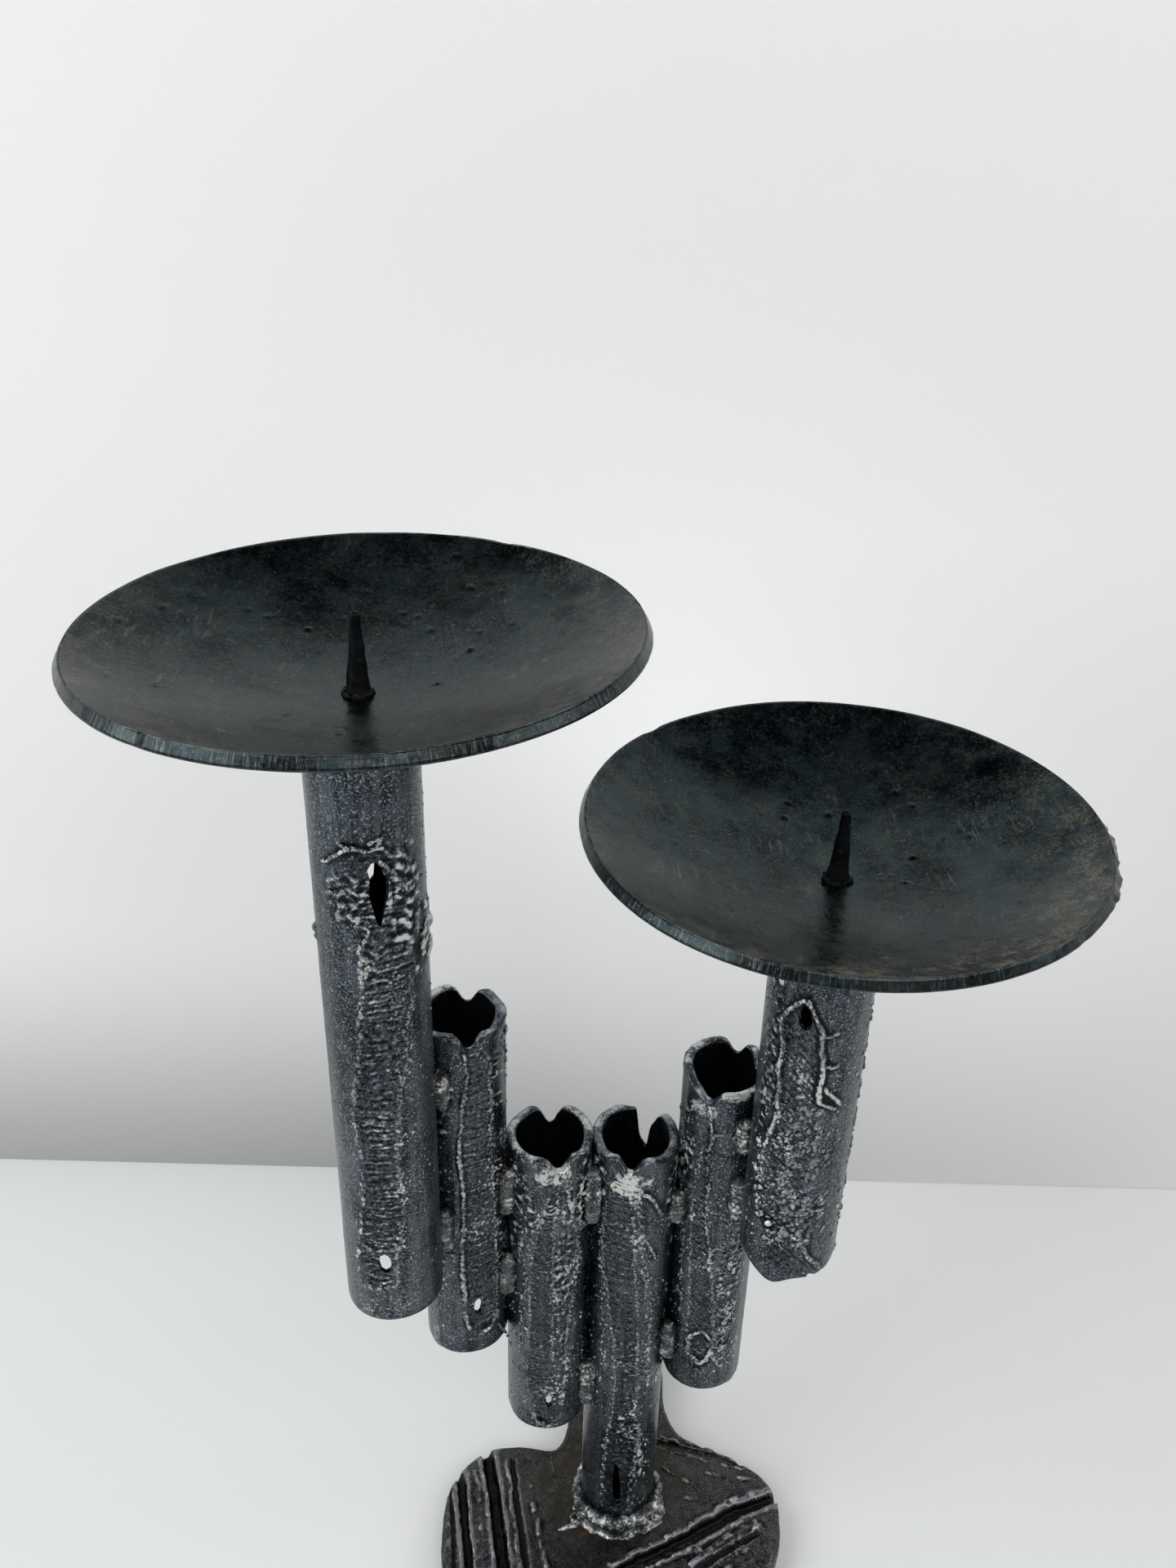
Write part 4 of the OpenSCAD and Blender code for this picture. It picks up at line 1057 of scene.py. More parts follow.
def steel_finish(name, dark, light, brush, cover, metallic, rough, rust=0.0, speck_and_glint_share=0.0, bump=0.5,
                 olive=0.0):
    """Blackened steel with pale paint on what stands proud, and rust and olive stain where asked. Proud
    relief and light specks are lighter, partly from wear and speckle and partly as painted highlights and
    glints, and hollows take painted shade.
    """
    material, tree, shader, coords = new_material(name, dark)
    grain = use_group(tree, GRAIN, {"Coordinates": coords})
    relief, slag, channel = (attribute(tree, n) for n in ("relief", "slag", "channel"))
    base = blend_colour(tree, grain["Tone"], (*dark, 1), (*light, 1))
    # Light specks: partly pale speckle of the metal, partly painted glints for its sparkle
    specks_and_glints = between(tree, noise_at(tree, coords, 1900.0, 2.0, 0.7), 0.55, 0.66, 0.0, speck_and_glint_share)
    base = blend_colour(tree, specks_and_glints, base, toned(light, 4.0))
    if olive:
        patchy = between(tree, noise_at(tree, coords, 210.0, 5.0, 0.7), 0.36, 0.6, 0.25, olive)
        stain = times(tree, attribute(tree, "rust"), patchy)
        base = blend_colour(tree, stain, base, OLIVE_STAIN)
    base = blend_colour(tree, times(tree, channel, 0.35), base, (*dark, 1))
    # Proud relief is lighter: partly rubbed wear, partly a painted highlight on what catches the light
    wear_and_highlight = between(tree, relief, 0.3, 1.3, 0.0, 0.85)
    base = blend_colour(tree, wear_and_highlight, base, toned(light, 3.4))
    # Painted shade: sunk relief is darkened where shade falls in pits and hollows
    hollow = between(tree, relief, -0.15, -0.8, 0.0, 0.9)
    base = blend_colour(tree, hollow, base, toned(dark, 0.25))
    painted = use_group(tree, DRY_BRUSH, {"Coordinates": coords, "Colour": base, "Brush Colour": (*brush, 1),
                                          "Relief": relief, "Slag": slag, "Channel": channel, "Cover": cover})
    colour = painted["Colour"]
    if rust:
        spots = use_group(tree, PATCHES, {"Coordinates": coords, "Colour": colour, "Patch Colour": RUST,
                                          "Scale": 95.0, "Cover": rust})
        colour = spots["Colour"]
    roughness = times_plus(tree, grain["Tone"], 0.16, rough - 0.08)
    roughness = plus(tree, roughness, times(tree, painted["Mask"], 0.12))
    metal = times_plus(tree, painted["Mask"], -0.45 * metallic, metallic)
    plug(tree, shader, Base_Color=colour, Roughness=roughness, Metallic=metal,
         Normal=bumped(tree, grain["Height"], bump, 0.12))
    return material


def dish_finish():
    """Satin black: mottled, a little dusty in front, with a filed and worn rim. The rim's edge lines are
    lighter, partly from wear and partly as a painted highlight.
    """
    material, tree, shader, coords = new_material("blackened_dish", (0.02, 0.022, 0.023))
    grain = use_group(tree, GRAIN, {"Coordinates": coords, "Speckle Scale": 900.0, "Cloud Scale": 55.0,
                                    "Streak Scale": 160.0})
    band, edge, dust = (attribute(tree, n) for n in ("band", "edge", "dust"))
    base = blend_colour(tree, grain["Tone"], (0.002, 0.006, 0.008, 1), (0.026, 0.043, 0.047, 1))
    mottle = noise_at(tree, coords, 38.0, 6.0, 0.6)
    base = blend_colour(tree, between(tree, mottle, 0.46, 0.66, 0.0, 0.7), base, (0.040, 0.056, 0.056, 1))
    dusty = noise_at(tree, coords, 150.0, 6.0, 0.8)
    grainy = noise_at(tree, coords, 1500.0, 3.0, 0.7)
    dust_share = times(tree, dust, between(tree, dusty, 0.45, 0.58, 0.0, 1.5))
    dust_share = times(tree, dust_share, between(tree, grainy, 0.44, 0.58, 0.1, 1.0))
    base = blend_colour(tree, dust_share, base, DUST)
    # Fine scratches, and pin-head specks of bare steel
    across = stretched(tree, coords, (1.0, 0.06, 1.0))
    scratches = between(tree, noise_at(tree, across, 1100.0, 2.0, 0.6), 0.57, 0.63)
    patchy = between(tree, noise_at(tree, coords, 70.0, 2.0), 0.5, 0.68)
    scratched = times(tree, times(tree, scratches, patchy), 0.5)
    base = blend_colour(tree, scratched, base, SCRATCHED_STEEL)
    base = blend_colour(tree, between(tree, grainy, 0.60, 0.66, 0.0, 0.7), base, BARE_STEEL)
    flecks = add_node(tree, "ShaderNodeTexVoronoi", {"feature": "F1"}, {"Vector": coords, "Scale": 150.0})
    sparse = between(tree, noise_at(tree, coords, 60.0, 2.0), 0.55, 0.72)
    fleck = times(tree, between(tree, flecks.outputs["Distance"], 0.16, 0.05), sparse)
    base = blend_colour(tree, fleck, base, (0.09, 0.088, 0.08, 1))
    # File marks run across the rim's band
    run = add_node(tree, "ShaderNodeCombineXYZ", None,
                   {"X": attribute(tree, "run"), "Y": attribute(tree, "through")}).outputs[0]
    marks = noise_at(tree, stretched(tree, run, (1.5, 0.16, 1.0)), 1.0, 3.0, 0.7)
    filed = times(tree, band, between(tree, marks, 0.47, 0.72))
    base = blend_colour(tree, times(tree, band, 0.45), base, (0.022, 0.026, 0.027, 1))
    base = blend_colour(tree, times(tree, filed, 0.5), base, BARE_STEEL)
    # The rim's edge lines are lighter: partly wear, partly a painted highlight along the edge
    torn = noise_at(tree, coords, 520.0, 4.0, 0.7)
    wear_and_edge_glint = times(tree, edge, between(tree, torn, 0.38, 0.62))
    base = blend_colour(tree, times(tree, wear_and_edge_glint, 0.6), base, BARE_STEEL)
    rough = times_plus(tree, grain["Tone"], 0.13, 0.21)
    rough = plus(tree, rough, times(tree, dust_share, 0.25))
    height = plus(tree, grain["Height"], times(tree, filed, 1.2))
    dented = noise_at(tree, stretched(tree, coords, (1.0, 0.45, 1.0)), 330.0, 3.0, 0.6)
    height = plus(tree, height, times(tree, dented, 2.4))
    metal = minus(tree, 1.0, times(tree, dust_share, 0.6))
    plug(tree, shader, Base_Color=base, Roughness=rough, Metallic=metal,
         Normal=bumped(tree, height, 0.32, 0.1))
    return material


def spike_finish():
    """Soot-black forged steel, a little glossy."""
    material, tree, shader, coords = new_material("sooty_spike", (0.012, 0.012, 0.013))
    grain = use_group(tree, GRAIN, {"Coordinates": coords, "Speckle Scale": 1800.0, "Cloud Scale": 300.0})
    base = blend_colour(tree, grain["Tone"], (0.001, 0.0015, 0.002, 1), (0.003, 0.004, 0.005, 1))
    relief = attribute(tree, "relief")
    base = blend_colour(tree, between(tree, relief, 0.5, 1.3, 0.0, 0.3), base, (0.045, 0.045, 0.043, 1))
    rough = times_plus(tree, grain["Tone"], 0.2, 0.34)
    plug(tree, shader, Base_Color=base, Roughness=rough, Metallic=0.0, Specular_IOR_Level=0.09,
         Normal=bumped(tree, grain["Height"], 0.5, 0.15))
    return material


GOUGED = steel_finish("gouged_steel", dark=(0.009, 0.0125, 0.017), light=(0.084, 0.096, 0.110),
                      brush=(0.60, 0.62, 0.59), cover=-0.40, metallic=0.9, rough=0.31, speck_and_glint_share=0.85, bump=1.0)
BASE_STEEL = steel_finish("flame_cut_base", dark=(0.013, 0.014, 0.016), light=(0.060, 0.061, 0.064),
                          brush=(0.38, 0.39, 0.38), cover=-0.85, metallic=0.85, rough=0.33, rust=0.11,
                          speck_and_glint_share=0.6, bump=0.9, olive=0.95)
WELD = steel_finish("weld_metal", dark=(0.022, 0.026, 0.030), light=(0.125, 0.13, 0.13),
                    brush=(0.60, 0.61, 0.58), cover=-0.22, metallic=0.85, rough=0.36, speck_and_glint_share=0.5)
SPATTER = steel_finish("slag_drops", dark=(0.03, 0.036, 0.044), light=(0.10, 0.11, 0.12),
                       brush=(0.58, 0.59, 0.56), cover=-0.42, metallic=0.9, rough=0.28)
DISH = dish_finish()
SPIKE = spike_finish()


# Camera, floor, backdrop and lamps

def set_camera():
    """The photograph's view: its lens from 1550 pixels of focal length over a 1920-pixel height."""
    place_mm = (-35.446, -280.020, 434.914)
    yaw, pitch, roll = (math.radians(a) for a in (-3.7955, 27.5775, 1.5257))
    focal_px, long_side_px, sensor_mm = 1550.0, 1920.0, 36.0
    forward = Vector((-math.sin(yaw) * math.cos(pitch), math.cos(yaw) * math.cos(pitch), -math.sin(pitch)))
    right = Vector((math.cos(yaw), math.sin(yaw), 0.0))
    up = right.cross(forward)
    right_rolled = math.cos(roll) * right + math.sin(roll) * up
    up_rolled = math.cos(roll) * up - math.sin(roll) * right
    turn = Matrix((right_rolled, up_rolled, -forward)).transposed()
    lens = bpy.data.cameras.new("photo_lens")
    lens.sensor_width = sensor_mm
    lens.lens = focal_px / long_side_px * sensor_mm
    lens.clip_start = 0.01
    camera = new_object("photo_camera", lens)
    camera.matrix_world = Matrix.Translation(Vector(place_mm) * MM) @ turn.to_4x4()
    bpy.context.scene.camera = camera


def stage_material(name, colour):
    """Matt paint with a faint unevenness."""
    material, tree, shader, coords = new_material(name, colour)
    cloud = noise_at(tree, coords, 2.5, 3.0)
    tint = tuple(c * 0.97 for c in colour)
    plug(tree, shader, Base_Color=blend_colour(tree, cloud, (*colour, 1), (*tint, 1)), Roughness=0.6,
         Specular_IOR_Level=0.25)
    return material, tree, shader, coords


def flat_sheet(name, corners, paint):
    """A flat piece of the surroundings from its four corners, in metres."""
    mesh = bpy.data.meshes.new(name)
    mesh.from_pydata(corners, [], [(0, 1, 2, 3)])
    mesh.materials.append(paint)
    return new_object(name, mesh)


def make_stage():
    """A pale table top, a low pale wall behind it that can't be seen from its back, and a ceiling painted
    dark as painted shade.
    """
    table_half, table_front, table_back = 3.5, -5.1, 3.658
    wall_half, wall_at, wall_foot, wall_top, turned = 1.6, 0.158, 0.0004, 0.54, math.radians(-3.7)
    ceiling_half, ceiling_level = 3, 1.9
    table_paint = stage_material("table_paint", (0.73, 0.745, 0.735))[0]
    # The ceiling's dark paint is painted shade: it stands for a ceiling that no lamp lights
    painted_shade_ceiling = stage_material("painted_shade_ceiling", (0.10, 0.115, 0.13))[0]
    wall_paint, tree, shader, coords = stage_material("wall_paint", (0.80, 0.792, 0.788))
    # Painted shade: the wall's paint darkens toward its foot, more so at its left, for the shadow that falls
    # there
    place = add_node(tree, "ShaderNodeSeparateXYZ", None, {0: coords}).outputs
    left_painted_shade = between(tree, place["X"], -0.1, 0.35, 0.42, 0.95)
    painted_foot_shade = between(tree, place["Z"], -0.02, 0.14, 0.0, 1.0)
    painted_foot_shade = plus(tree, left_painted_shade, times(tree, painted_foot_shade, minus(tree, 1.0, left_painted_shade)))
    # A soft bright patch stands in for the light that the room throws back on the wall
    round_middle = add_node(tree, "ShaderNodeMapping", None, {
        "Vector": coords, "Location": (-0.13, -0.79, -0.84), "Scale": (4.0, 5.0, 4.2)}).outputs[0]
    middle = add_node(tree, "ShaderNodeTexGradient", {"gradient_type": "QUADRATIC_SPHERE"},
                      {"Vector": round_middle}).outputs["Fac"]
    paint = blend_colour(tree, middle, shader.inputs["Base Color"].links[0].from_socket,
                         (0.97, 0.97, 0.96, 1))
    # The dark colour mixed in here is the painted shade at the wall's foot
    plug(tree, shader, Base_Color=blend_colour(tree, painted_foot_shade, (0.05, 0.055, 0.06, 1), paint),
         Emission_Color=(1.0, 1.0, 1.0, 1), Emission_Strength=times(tree, middle, 0.09))
    clear = tree.nodes.new("ShaderNodeBsdfTransparent").outputs[0]
    reverse = tree.nodes.new("ShaderNodeNewGeometry").outputs["Backfacing"]
    mixed = add_node(tree, "ShaderNodeMixShader", None, {0: reverse, 1: shader.outputs[0], 2: clear})
    output = next(n for n in tree.nodes if n.type == "OUTPUT_MATERIAL")
    tree.links.new(mixed.outputs[0], output.inputs["Surface"])

    table_top = flat_sheet("table_top", [(-table_half, table_front, 0), (table_half, table_front, 0),
                                         (table_half, table_back, 0), (-table_half, table_back, 0)],
                           table_paint)
    left, right = [(x * math.cos(turned), wall_at + x * math.sin(turned)) for x in (-wall_half, wall_half)]
    wall = flat_sheet("back_wall", [(*left, wall_foot), (*right, wall_foot), (*right, wall_top),
                                    (*left, wall_top)], wall_paint)
    half, level = ceiling_half, ceiling_level
    ceiling = flat_sheet("ceiling", [(-half, -half, level), (-half, half, level), (half, half, level),
                                     (half, -half, level)], painted_shade_ceiling)


def soft_lamp(name, place, aim, size, power, colour=(1, 1, 1)):
    light = bpy.data.lights.new(name, "AREA")
    light.shape = "RECTANGLE"
    light.size, light.size_y = size
    light.energy = power
    light.color = colour
    lamp = new_object(name, light)
    lamp.location = place
    lamp.rotation_euler = (Vector(aim) - Vector(place)).to_track_quat("-Z", "Y").to_euler()


def set_light():
    world = bpy.data.worlds.new("pale_room")
    world.use_nodes = True
    sky = world.node_tree.nodes["Background"]
    sky.inputs["Color"].default_value = (0.92, 0.96, 1.0, 1)
    sky.inputs["Strength"].default_value = 0.42
    bpy.context.scene.world = world
    aim = (0.0, 0.0, 0.2)
    soft_lamp("window_left", (-1.3, -0.5, 1.1), aim, (1.2, 1.2), 20.0, (0.97, 0.99, 1.0))
    soft_lamp("window_right", (1.3, -0.4, 1.0), aim, (1.0, 1.0), 7.0)
    soft_lamp("lamp_behind_camera", (0.2, -1.3, 1.6), aim, (1.6, 1.0), 16.0, (1.0, 0.98, 0.96))


# Dishes

DISH_SPHERE_R = (DISH_IN_R ** 2 + DISH_DEPTH ** 2) / (2 * DISH_DEPTH)
DISH_RIM = math.asin(DISH_IN_R / DISH_SPHERE_R)
DISH_COLUMNS = 320
DISH_RINGS = 96
UNDER_RINGS = 40
RIM_SEGMENTS = 9
# How far the rim's corners are worn round, and the grains trapped under the blacking
RIM_CORNER = 0.32
GRAINS = 46


class DishPlace:
    """Where a dish sits and how it leans, so that things can be put in it and on it."""

    def __init__(self, at, height, lean):
        x_turn, y_turn = math.radians(lean), math.radians(SIDE_LEAN)
        about_x = np.array([[1, 0, 0], [0, math.cos(x_turn), -math.sin(x_turn)],
                            [0, math.sin(x_turn), math.cos(x_turn)]])
        about_y = np.array([[math.cos(y_turn), 0, math.sin(y_turn)], [0, 1, 0],
                            [-math.sin(y_turn), 0, math.cos(y_turn)]])
        self.turn = about_y @ about_x
        self.middle = np.array([at[0], at[1], height])

    def put(self, points):
        return np.asarray(points) @ self.turn.T + self.middle


def on_sphere(turn, tilt, radius):
    """A point of a dish: turn counts from the front, tilt from the dish's middle, both in radians."""
    return np.stack([radius * np.sin(tilt) * np.sin(turn), -radius * np.sin(tilt) * np.cos(turn),
                     DISH_SPHERE_R - radius * np.cos(tilt)], axis=-1)


def make_dish(name, node, place, seed, nicks, rough_arc=None):
    """A pressed plate with a dished inside, a square filed rim and a plain underside."""
    turn = np.linspace(-math.pi, math.pi, DISH_COLUMNS, endpoint=False) + math.pi / 2
    rng = np.random.default_rng(seed)
    ring = np.stack([30 * np.cos(turn), 30 * np.sin(turn), 0 * turn + seed], axis=-1)
    out_of_round = 0.22 * noise(ring, 22, seed) + 0.06 * noise(ring, 4, seed + 1)
    bite = np.zeros_like(turn)
    for degrees, wide, deep in nicks:
        off = np.abs(wrapped(turn - math.radians(degrees))) * DISH_IN_R / (wide / 2)
        bite = np.maximum(bite, deep * np.exp(-off ** 4))
    burr = np.zeros_like(turn)
    if rough_arc:
        low, high, tall = rough_arc
        middle, half = math.radians((low + high) / 2), math.radians(high - low) / 2
        arc = smooth_step(1.2, 0.8, np.abs(wrapped(turn - middle)) / half)
        burr = arc * tall * np.clip(rough_noise(ring, 1.1, seed + 3, 3) + 0.35, 0, 1.2)
    grids, masks = [], {"band": [], "edge": [], "dust": [], "run": [], "through": []}

    def add(points, **values):
        grids.append(points)
        for key, value in values.items():
            masks[key].append(np.broadcast_to(value, turn.shape))
        masks["run"].append((turn + math.pi) * DISH_IN_R)

    for k in range(1, DISH_RINGS + 1):
        share = (k / DISH_RINGS) ** 0.85
        tilt = DISH_RIM * share * (1 + (out_of_round - 0.5 * bite) / DISH_IN_R * share ** 4)
        p = on_sphere(turn, tilt, DISH_SPHERE_R)
        dent = 0.30 * rough_noise(p, 26, seed + 5, 2) + 0.05 * rough_noise(p, 3.0, seed + 6, 3)
        p = on_sphere(turn, tilt, DISH_SPHERE_R - dent * min(1.0, share * 3))
        front = 0.5 + 0.5 * np.cos(turn - 0.25)
        dust = smooth_step(0.68, 0.96, share) * front ** 2 * 0.85 + 0.09
        add(p, band=0.0, edge=smooth_step(0.985, 1.0, share), dust=dust, through=0.0)
    # The rim runs square across the plate, with its two corners worn round
    for k in range(RIM_SEGMENTS + 1):
        share = k / RIM_SEGMENTS
        through = PLATE_T * share
        to_corner = min(1.0, min(through, PLATE_T - through) / RIM_CORNER)
        inset = RIM_CORNER * (1 - math.sqrt(max(0.0, 1 - (1 - to_corner) ** 2)))
        tilt = DISH_RIM * (1 + (out_of_round - bite * (1 - 0.5 * share) + burr * share - inset) / DISH_IN_R)
        p = on_sphere(turn, tilt, DISH_SPHERE_R + through)
        p = on_sphere(turn, tilt + 0.05 * rough_noise(p, 1.5, seed + 8, 2) / DISH_IN_R,
                      DISH_SPHERE_R + through)
        # Mask for the lighter rim edges: partly wear, partly a painted highlight
        wear_and_edge_glint = max(smooth_step(0.5, 0.0, through), smooth_step(PLATE_T - 0.4, PLATE_T, through) * 0.8)
        add(p, band=1.0 if 0 < k < RIM_SEGMENTS else 0.4, edge=wear_and_edge_glint, dust=0.05, through=through)
    for k in range(1, UNDER_RINGS):
        share = 1 - k / UNDER_RINGS
        tilt = DISH_RIM * share * (1 + (out_of_round - 0.5 * bite + burr) / DISH_IN_R * share ** 6)
        p = on_sphere(turn, tilt, DISH_SPHERE_R + PLATE_T)
        dent = 0.15 * rough_noise(p, 24, seed + 9, 2) + 0.04 * rough_noise(p, 3.0, seed + 10, 2)
        p = on_sphere(turn, tilt, DISH_SPHERE_R + PLATE_T + dent)
        add(p, band=0.0, edge=0.0, dust=0.1, through=PLATE_T)

    # Small grains that were trapped under the blacking
    inside = np.stack(grids[:DISH_RINGS])
    for _ in range(GRAINS):
        spot = on_sphere(rng.uniform(-math.pi, math.pi), DISH_RIM * math.sqrt(rng.uniform(0.03, 0.95)),
                         DISH_SPHERE_R)
        wide = rng.uniform(0.35, 1.1)
        near = np.clip(1 - np.sum((inside - spot) ** 2, axis=-1) / wide ** 2, 0, 1)
        inside[..., 2] += near * wide * 0.45
    points = place.put(np.concatenate([inside.reshape(-1, 3), *grids[DISH_RINGS:]]))
    top_pole, low_pole = place.put([[0, 0, 0.0], [0, 0, -PLATE_T]])
    rings = len(grids)
    number = np.arange(rings * DISH_COLUMNS).reshape(rings, DISH_COLUMNS)
    faces = grid_quads(number).reshape(-1, 4).tolist()
    top, low = rings * DISH_COLUMNS, rings * DISH_COLUMNS + 1
    faces += [(top, int(b), int(a)) for a, b in zip(number[0], np.roll(number[0], 1))]
    faces += [(low, int(a), int(b)) for a, b in zip(number[-1], np.roll(number[-1], 1))]
    points = np.concatenate([points, [top_pole, low_pole]])
    masks = {key: np.append(np.concatenate(rows), [0.0, 0.0]) for key, rows in masks.items()}
    return fit(make_mesh(name, points, faces, DISH, masks), "dish_steel", node)


# Spikes

SPIKE_LENGTH = 19.3
SPIKE_FOOT_R = 3.4
SPIKE_TIP_R = 1.05
SPIKE_SUNK = 1.2
SPIKE_SIDES = 40
SPIKE_ROWS = 60
# The share of a spike below its rounded tip
BELOW_TIP_SHARE = 0.955


def make_spike(name, node, place, at, seed):
    """A forged spike that tapers to a rounded tip, a little knobbly and not quite straight."""
    turn = np.linspace(0, 2 * math.pi, SPIKE_SIDES, endpoint=False)
    foot = np.array([at[0], at[1], place.middle[2]])
    rings = []
    for k in range(SPIKE_ROWS):
        share = k / (SPIKE_ROWS - 1)
        level = -SPIKE_SUNK + (SPIKE_LENGTH + SPIKE_SUNK) * share
        r = SPIKE_FOOT_R + (SPIKE_TIP_R - SPIKE_FOOT_R) * share ** 0.62
        if share > BELOW_TIP_SHARE:
            r *= math.sqrt(max(0.0, 1 - ((share - BELOW_TIP_SHARE) / (1 - BELOW_TIP_SHARE)) ** 2))
        flare = 0.3 * math.exp(-max(level, 0) / 0.9)
        bend = 0.25 * math.sin(2.2 * share)
        p = np.stack([r * np.cos(turn), r * np.sin(turn), 0 * turn + level], axis=-1)
        knob = 0.22 * rough_noise(p + seed * 3.7, 2.2, seed, 3) * min(1.0, r)
        wide = max(r, 0.02) + flare + knob * (0.4 if share > 0.9 else 1)
        rings.append(np.stack([wide * np.cos(turn) + bend, wide * np.sin(turn),
                               0 * turn + level], axis=-1) + foot)
    points = np.concatenate(rings)
    number = np.arange(SPIKE_ROWS * SPIKE_SIDES).reshape(SPIKE_ROWS, SPIKE_SIDES)
    faces = grid_quads(number).reshape(-1, 4).tolist()
    faces.append([int(n) for n in number[0][::-1]])
    faces.append([int(n) for n in number[-1]])
    relief = 1.4 * rough_noise(points, 1.6, seed + 2, 2)
    return fit(make_mesh(name, points, faces, SPIKE, {"relief": relief}), "spike_steel", node)


# Weld beads, laid like stacked coins along a path and melted into one skin, and drops of slag

SMALL_DROP_HALF = 0.5
# Radius of the bead that would touch both tubes, and half a tack's width and depth
TACK_R = 1.3
TACK_WIDE = 3.1
TACK_DEEP = 2.2
FOOT_RING_DROPS = 15
DISH_WELD_COINS = 44


def named_vector(tree, name):
    """A vector that each point of a path carries."""
    return add_node(tree, "GeometryNodeInputNamedAttribute", {"data_type": "FLOAT_VECTOR"},
                    {"Name": name}).outputs["Attribute"]


def surface_noise(tree, scale, detail):
    place = tree.nodes.new("GeometryNodeInputPosition").outputs[0]
    return add_node(tree, "ShaderNodeTexNoise", None,
                    {"Vector": place, "Scale": scale, "Detail": detail}).outputs["Fac"]


def marked(tree, geometry, relief):
    """The same surface, which carries how proud each point stands."""
    return add_node(tree, "GeometryNodeStoreNamedAttribute", {"data_type": "FLOAT", "domain": "POINT"},
                    {"Geometry": geometry, "Name": "relief", "Value": relief}).outputs[0]


def roughened(tree, geometry, grain, reach):
    """Moves a surface out and in along its normals as a noise says, within a reach."""
    push = times(tree, minus(tree, grain, 0.5), reach)
    normal = tree.nodes.new("GeometryNodeInputNormal").outputs[0]
    offset = add_node(tree, "ShaderNodeVectorMath", {"operation": "SCALE"}, {0: normal, "Scale": push})
    return add_node(tree, "GeometryNodeSetPosition", None,
                    {"Geometry": geometry, "Offset": offset.outputs[0]}).outputs[0]


def end_tree(tree, geometry, material):
    """Smooth shading, real meshes and the material, as the tree's last nodes."""
    smooth = add_node(tree, "GeometryNodeSetShadeSmooth", None, {"Geometry": geometry})
    real = add_node(tree, "GeometryNodeRealizeInstances", None, {"Geometry": smooth.outputs[0]})
    painted = add_node(tree, "GeometryNodeSetMaterial", None,
                       {"Geometry": real.outputs[0], "Material": material})
    tree.links.new(painted.outputs[0], tree.nodes.new("NodeGroupOutput").inputs[0])


def start_tree(name, sizes=()):
    """A tree that takes points, named sizes and a material, and gives a mesh."""
    tree = bpy.data.node_groups.new(name, "GeometryNodeTree")
    tree.interface.new_socket(name="Geometry", in_out="INPUT", socket_type="NodeSocketGeometry")
    for label, value in sizes:
        socket = tree.interface.new_socket(name=label, in_out="INPUT", socket_type="NodeSocketFloat")
        socket.default_value = value
    tree.interface.new_socket(name="Material", in_out="INPUT", socket_type="NodeSocketMaterial")
    tree.interface.new_socket(name="Geometry", in_out="OUTPUT", socket_type="NodeSocketGeometry")
    return tree, tree.nodes.new("NodeGroupInput").outputs


def make_weld_tree():
    """Geometry nodes: a flattened ball at each point, melted together and roughened."""
    sizes = (("Voxel Size", 0.3 * MM), ("Roughness", 0.25 * MM), ("Grain Scale", 500.0))
    tree, start = start_tree("weld_bead", sizes)
    ball = add_node(tree, "GeometryNodeMeshUVSphere", None, {"Segments": 20, "Rings": 12, "Radius": 1.0})
    coins = add_node(tree, "GeometryNodeInstanceOnPoints", None,
                     {"Points": start["Geometry"], "Instance": ball.outputs["Mesh"],
                      "Rotation": named_vector(tree, "coin_turn"), "Scale": named_vector(tree, "coin_size")})
    solid = add_node(tree, "GeometryNodeRealizeInstances", None, {"Geometry": coins.outputs[0]})
    volume = add_node(tree, "GeometryNodeMeshToVolume", {"resolution_mode": "VOXEL_SIZE"},
                      {"Mesh": solid.outputs[0], "Voxel Size": start["Voxel Size"],
                       "Interior Band Width": 1.2 * MM})
    skin = add_node(tree, "GeometryNodeVolumeToMesh", None, {"Volume": volume.outputs[0]})
    grain = surface_noise(tree, start["Grain Scale"], 3.0)
    moved = roughened(tree, skin.outputs[0], grain, times(tree, start["Roughness"], 4.0))
    proud = between(tree, grain, 0.38, 0.66, -0.5, 0.9, "LINEAR")
    end_tree(tree, marked(tree, moved, proud), start["Material"])
    return tree


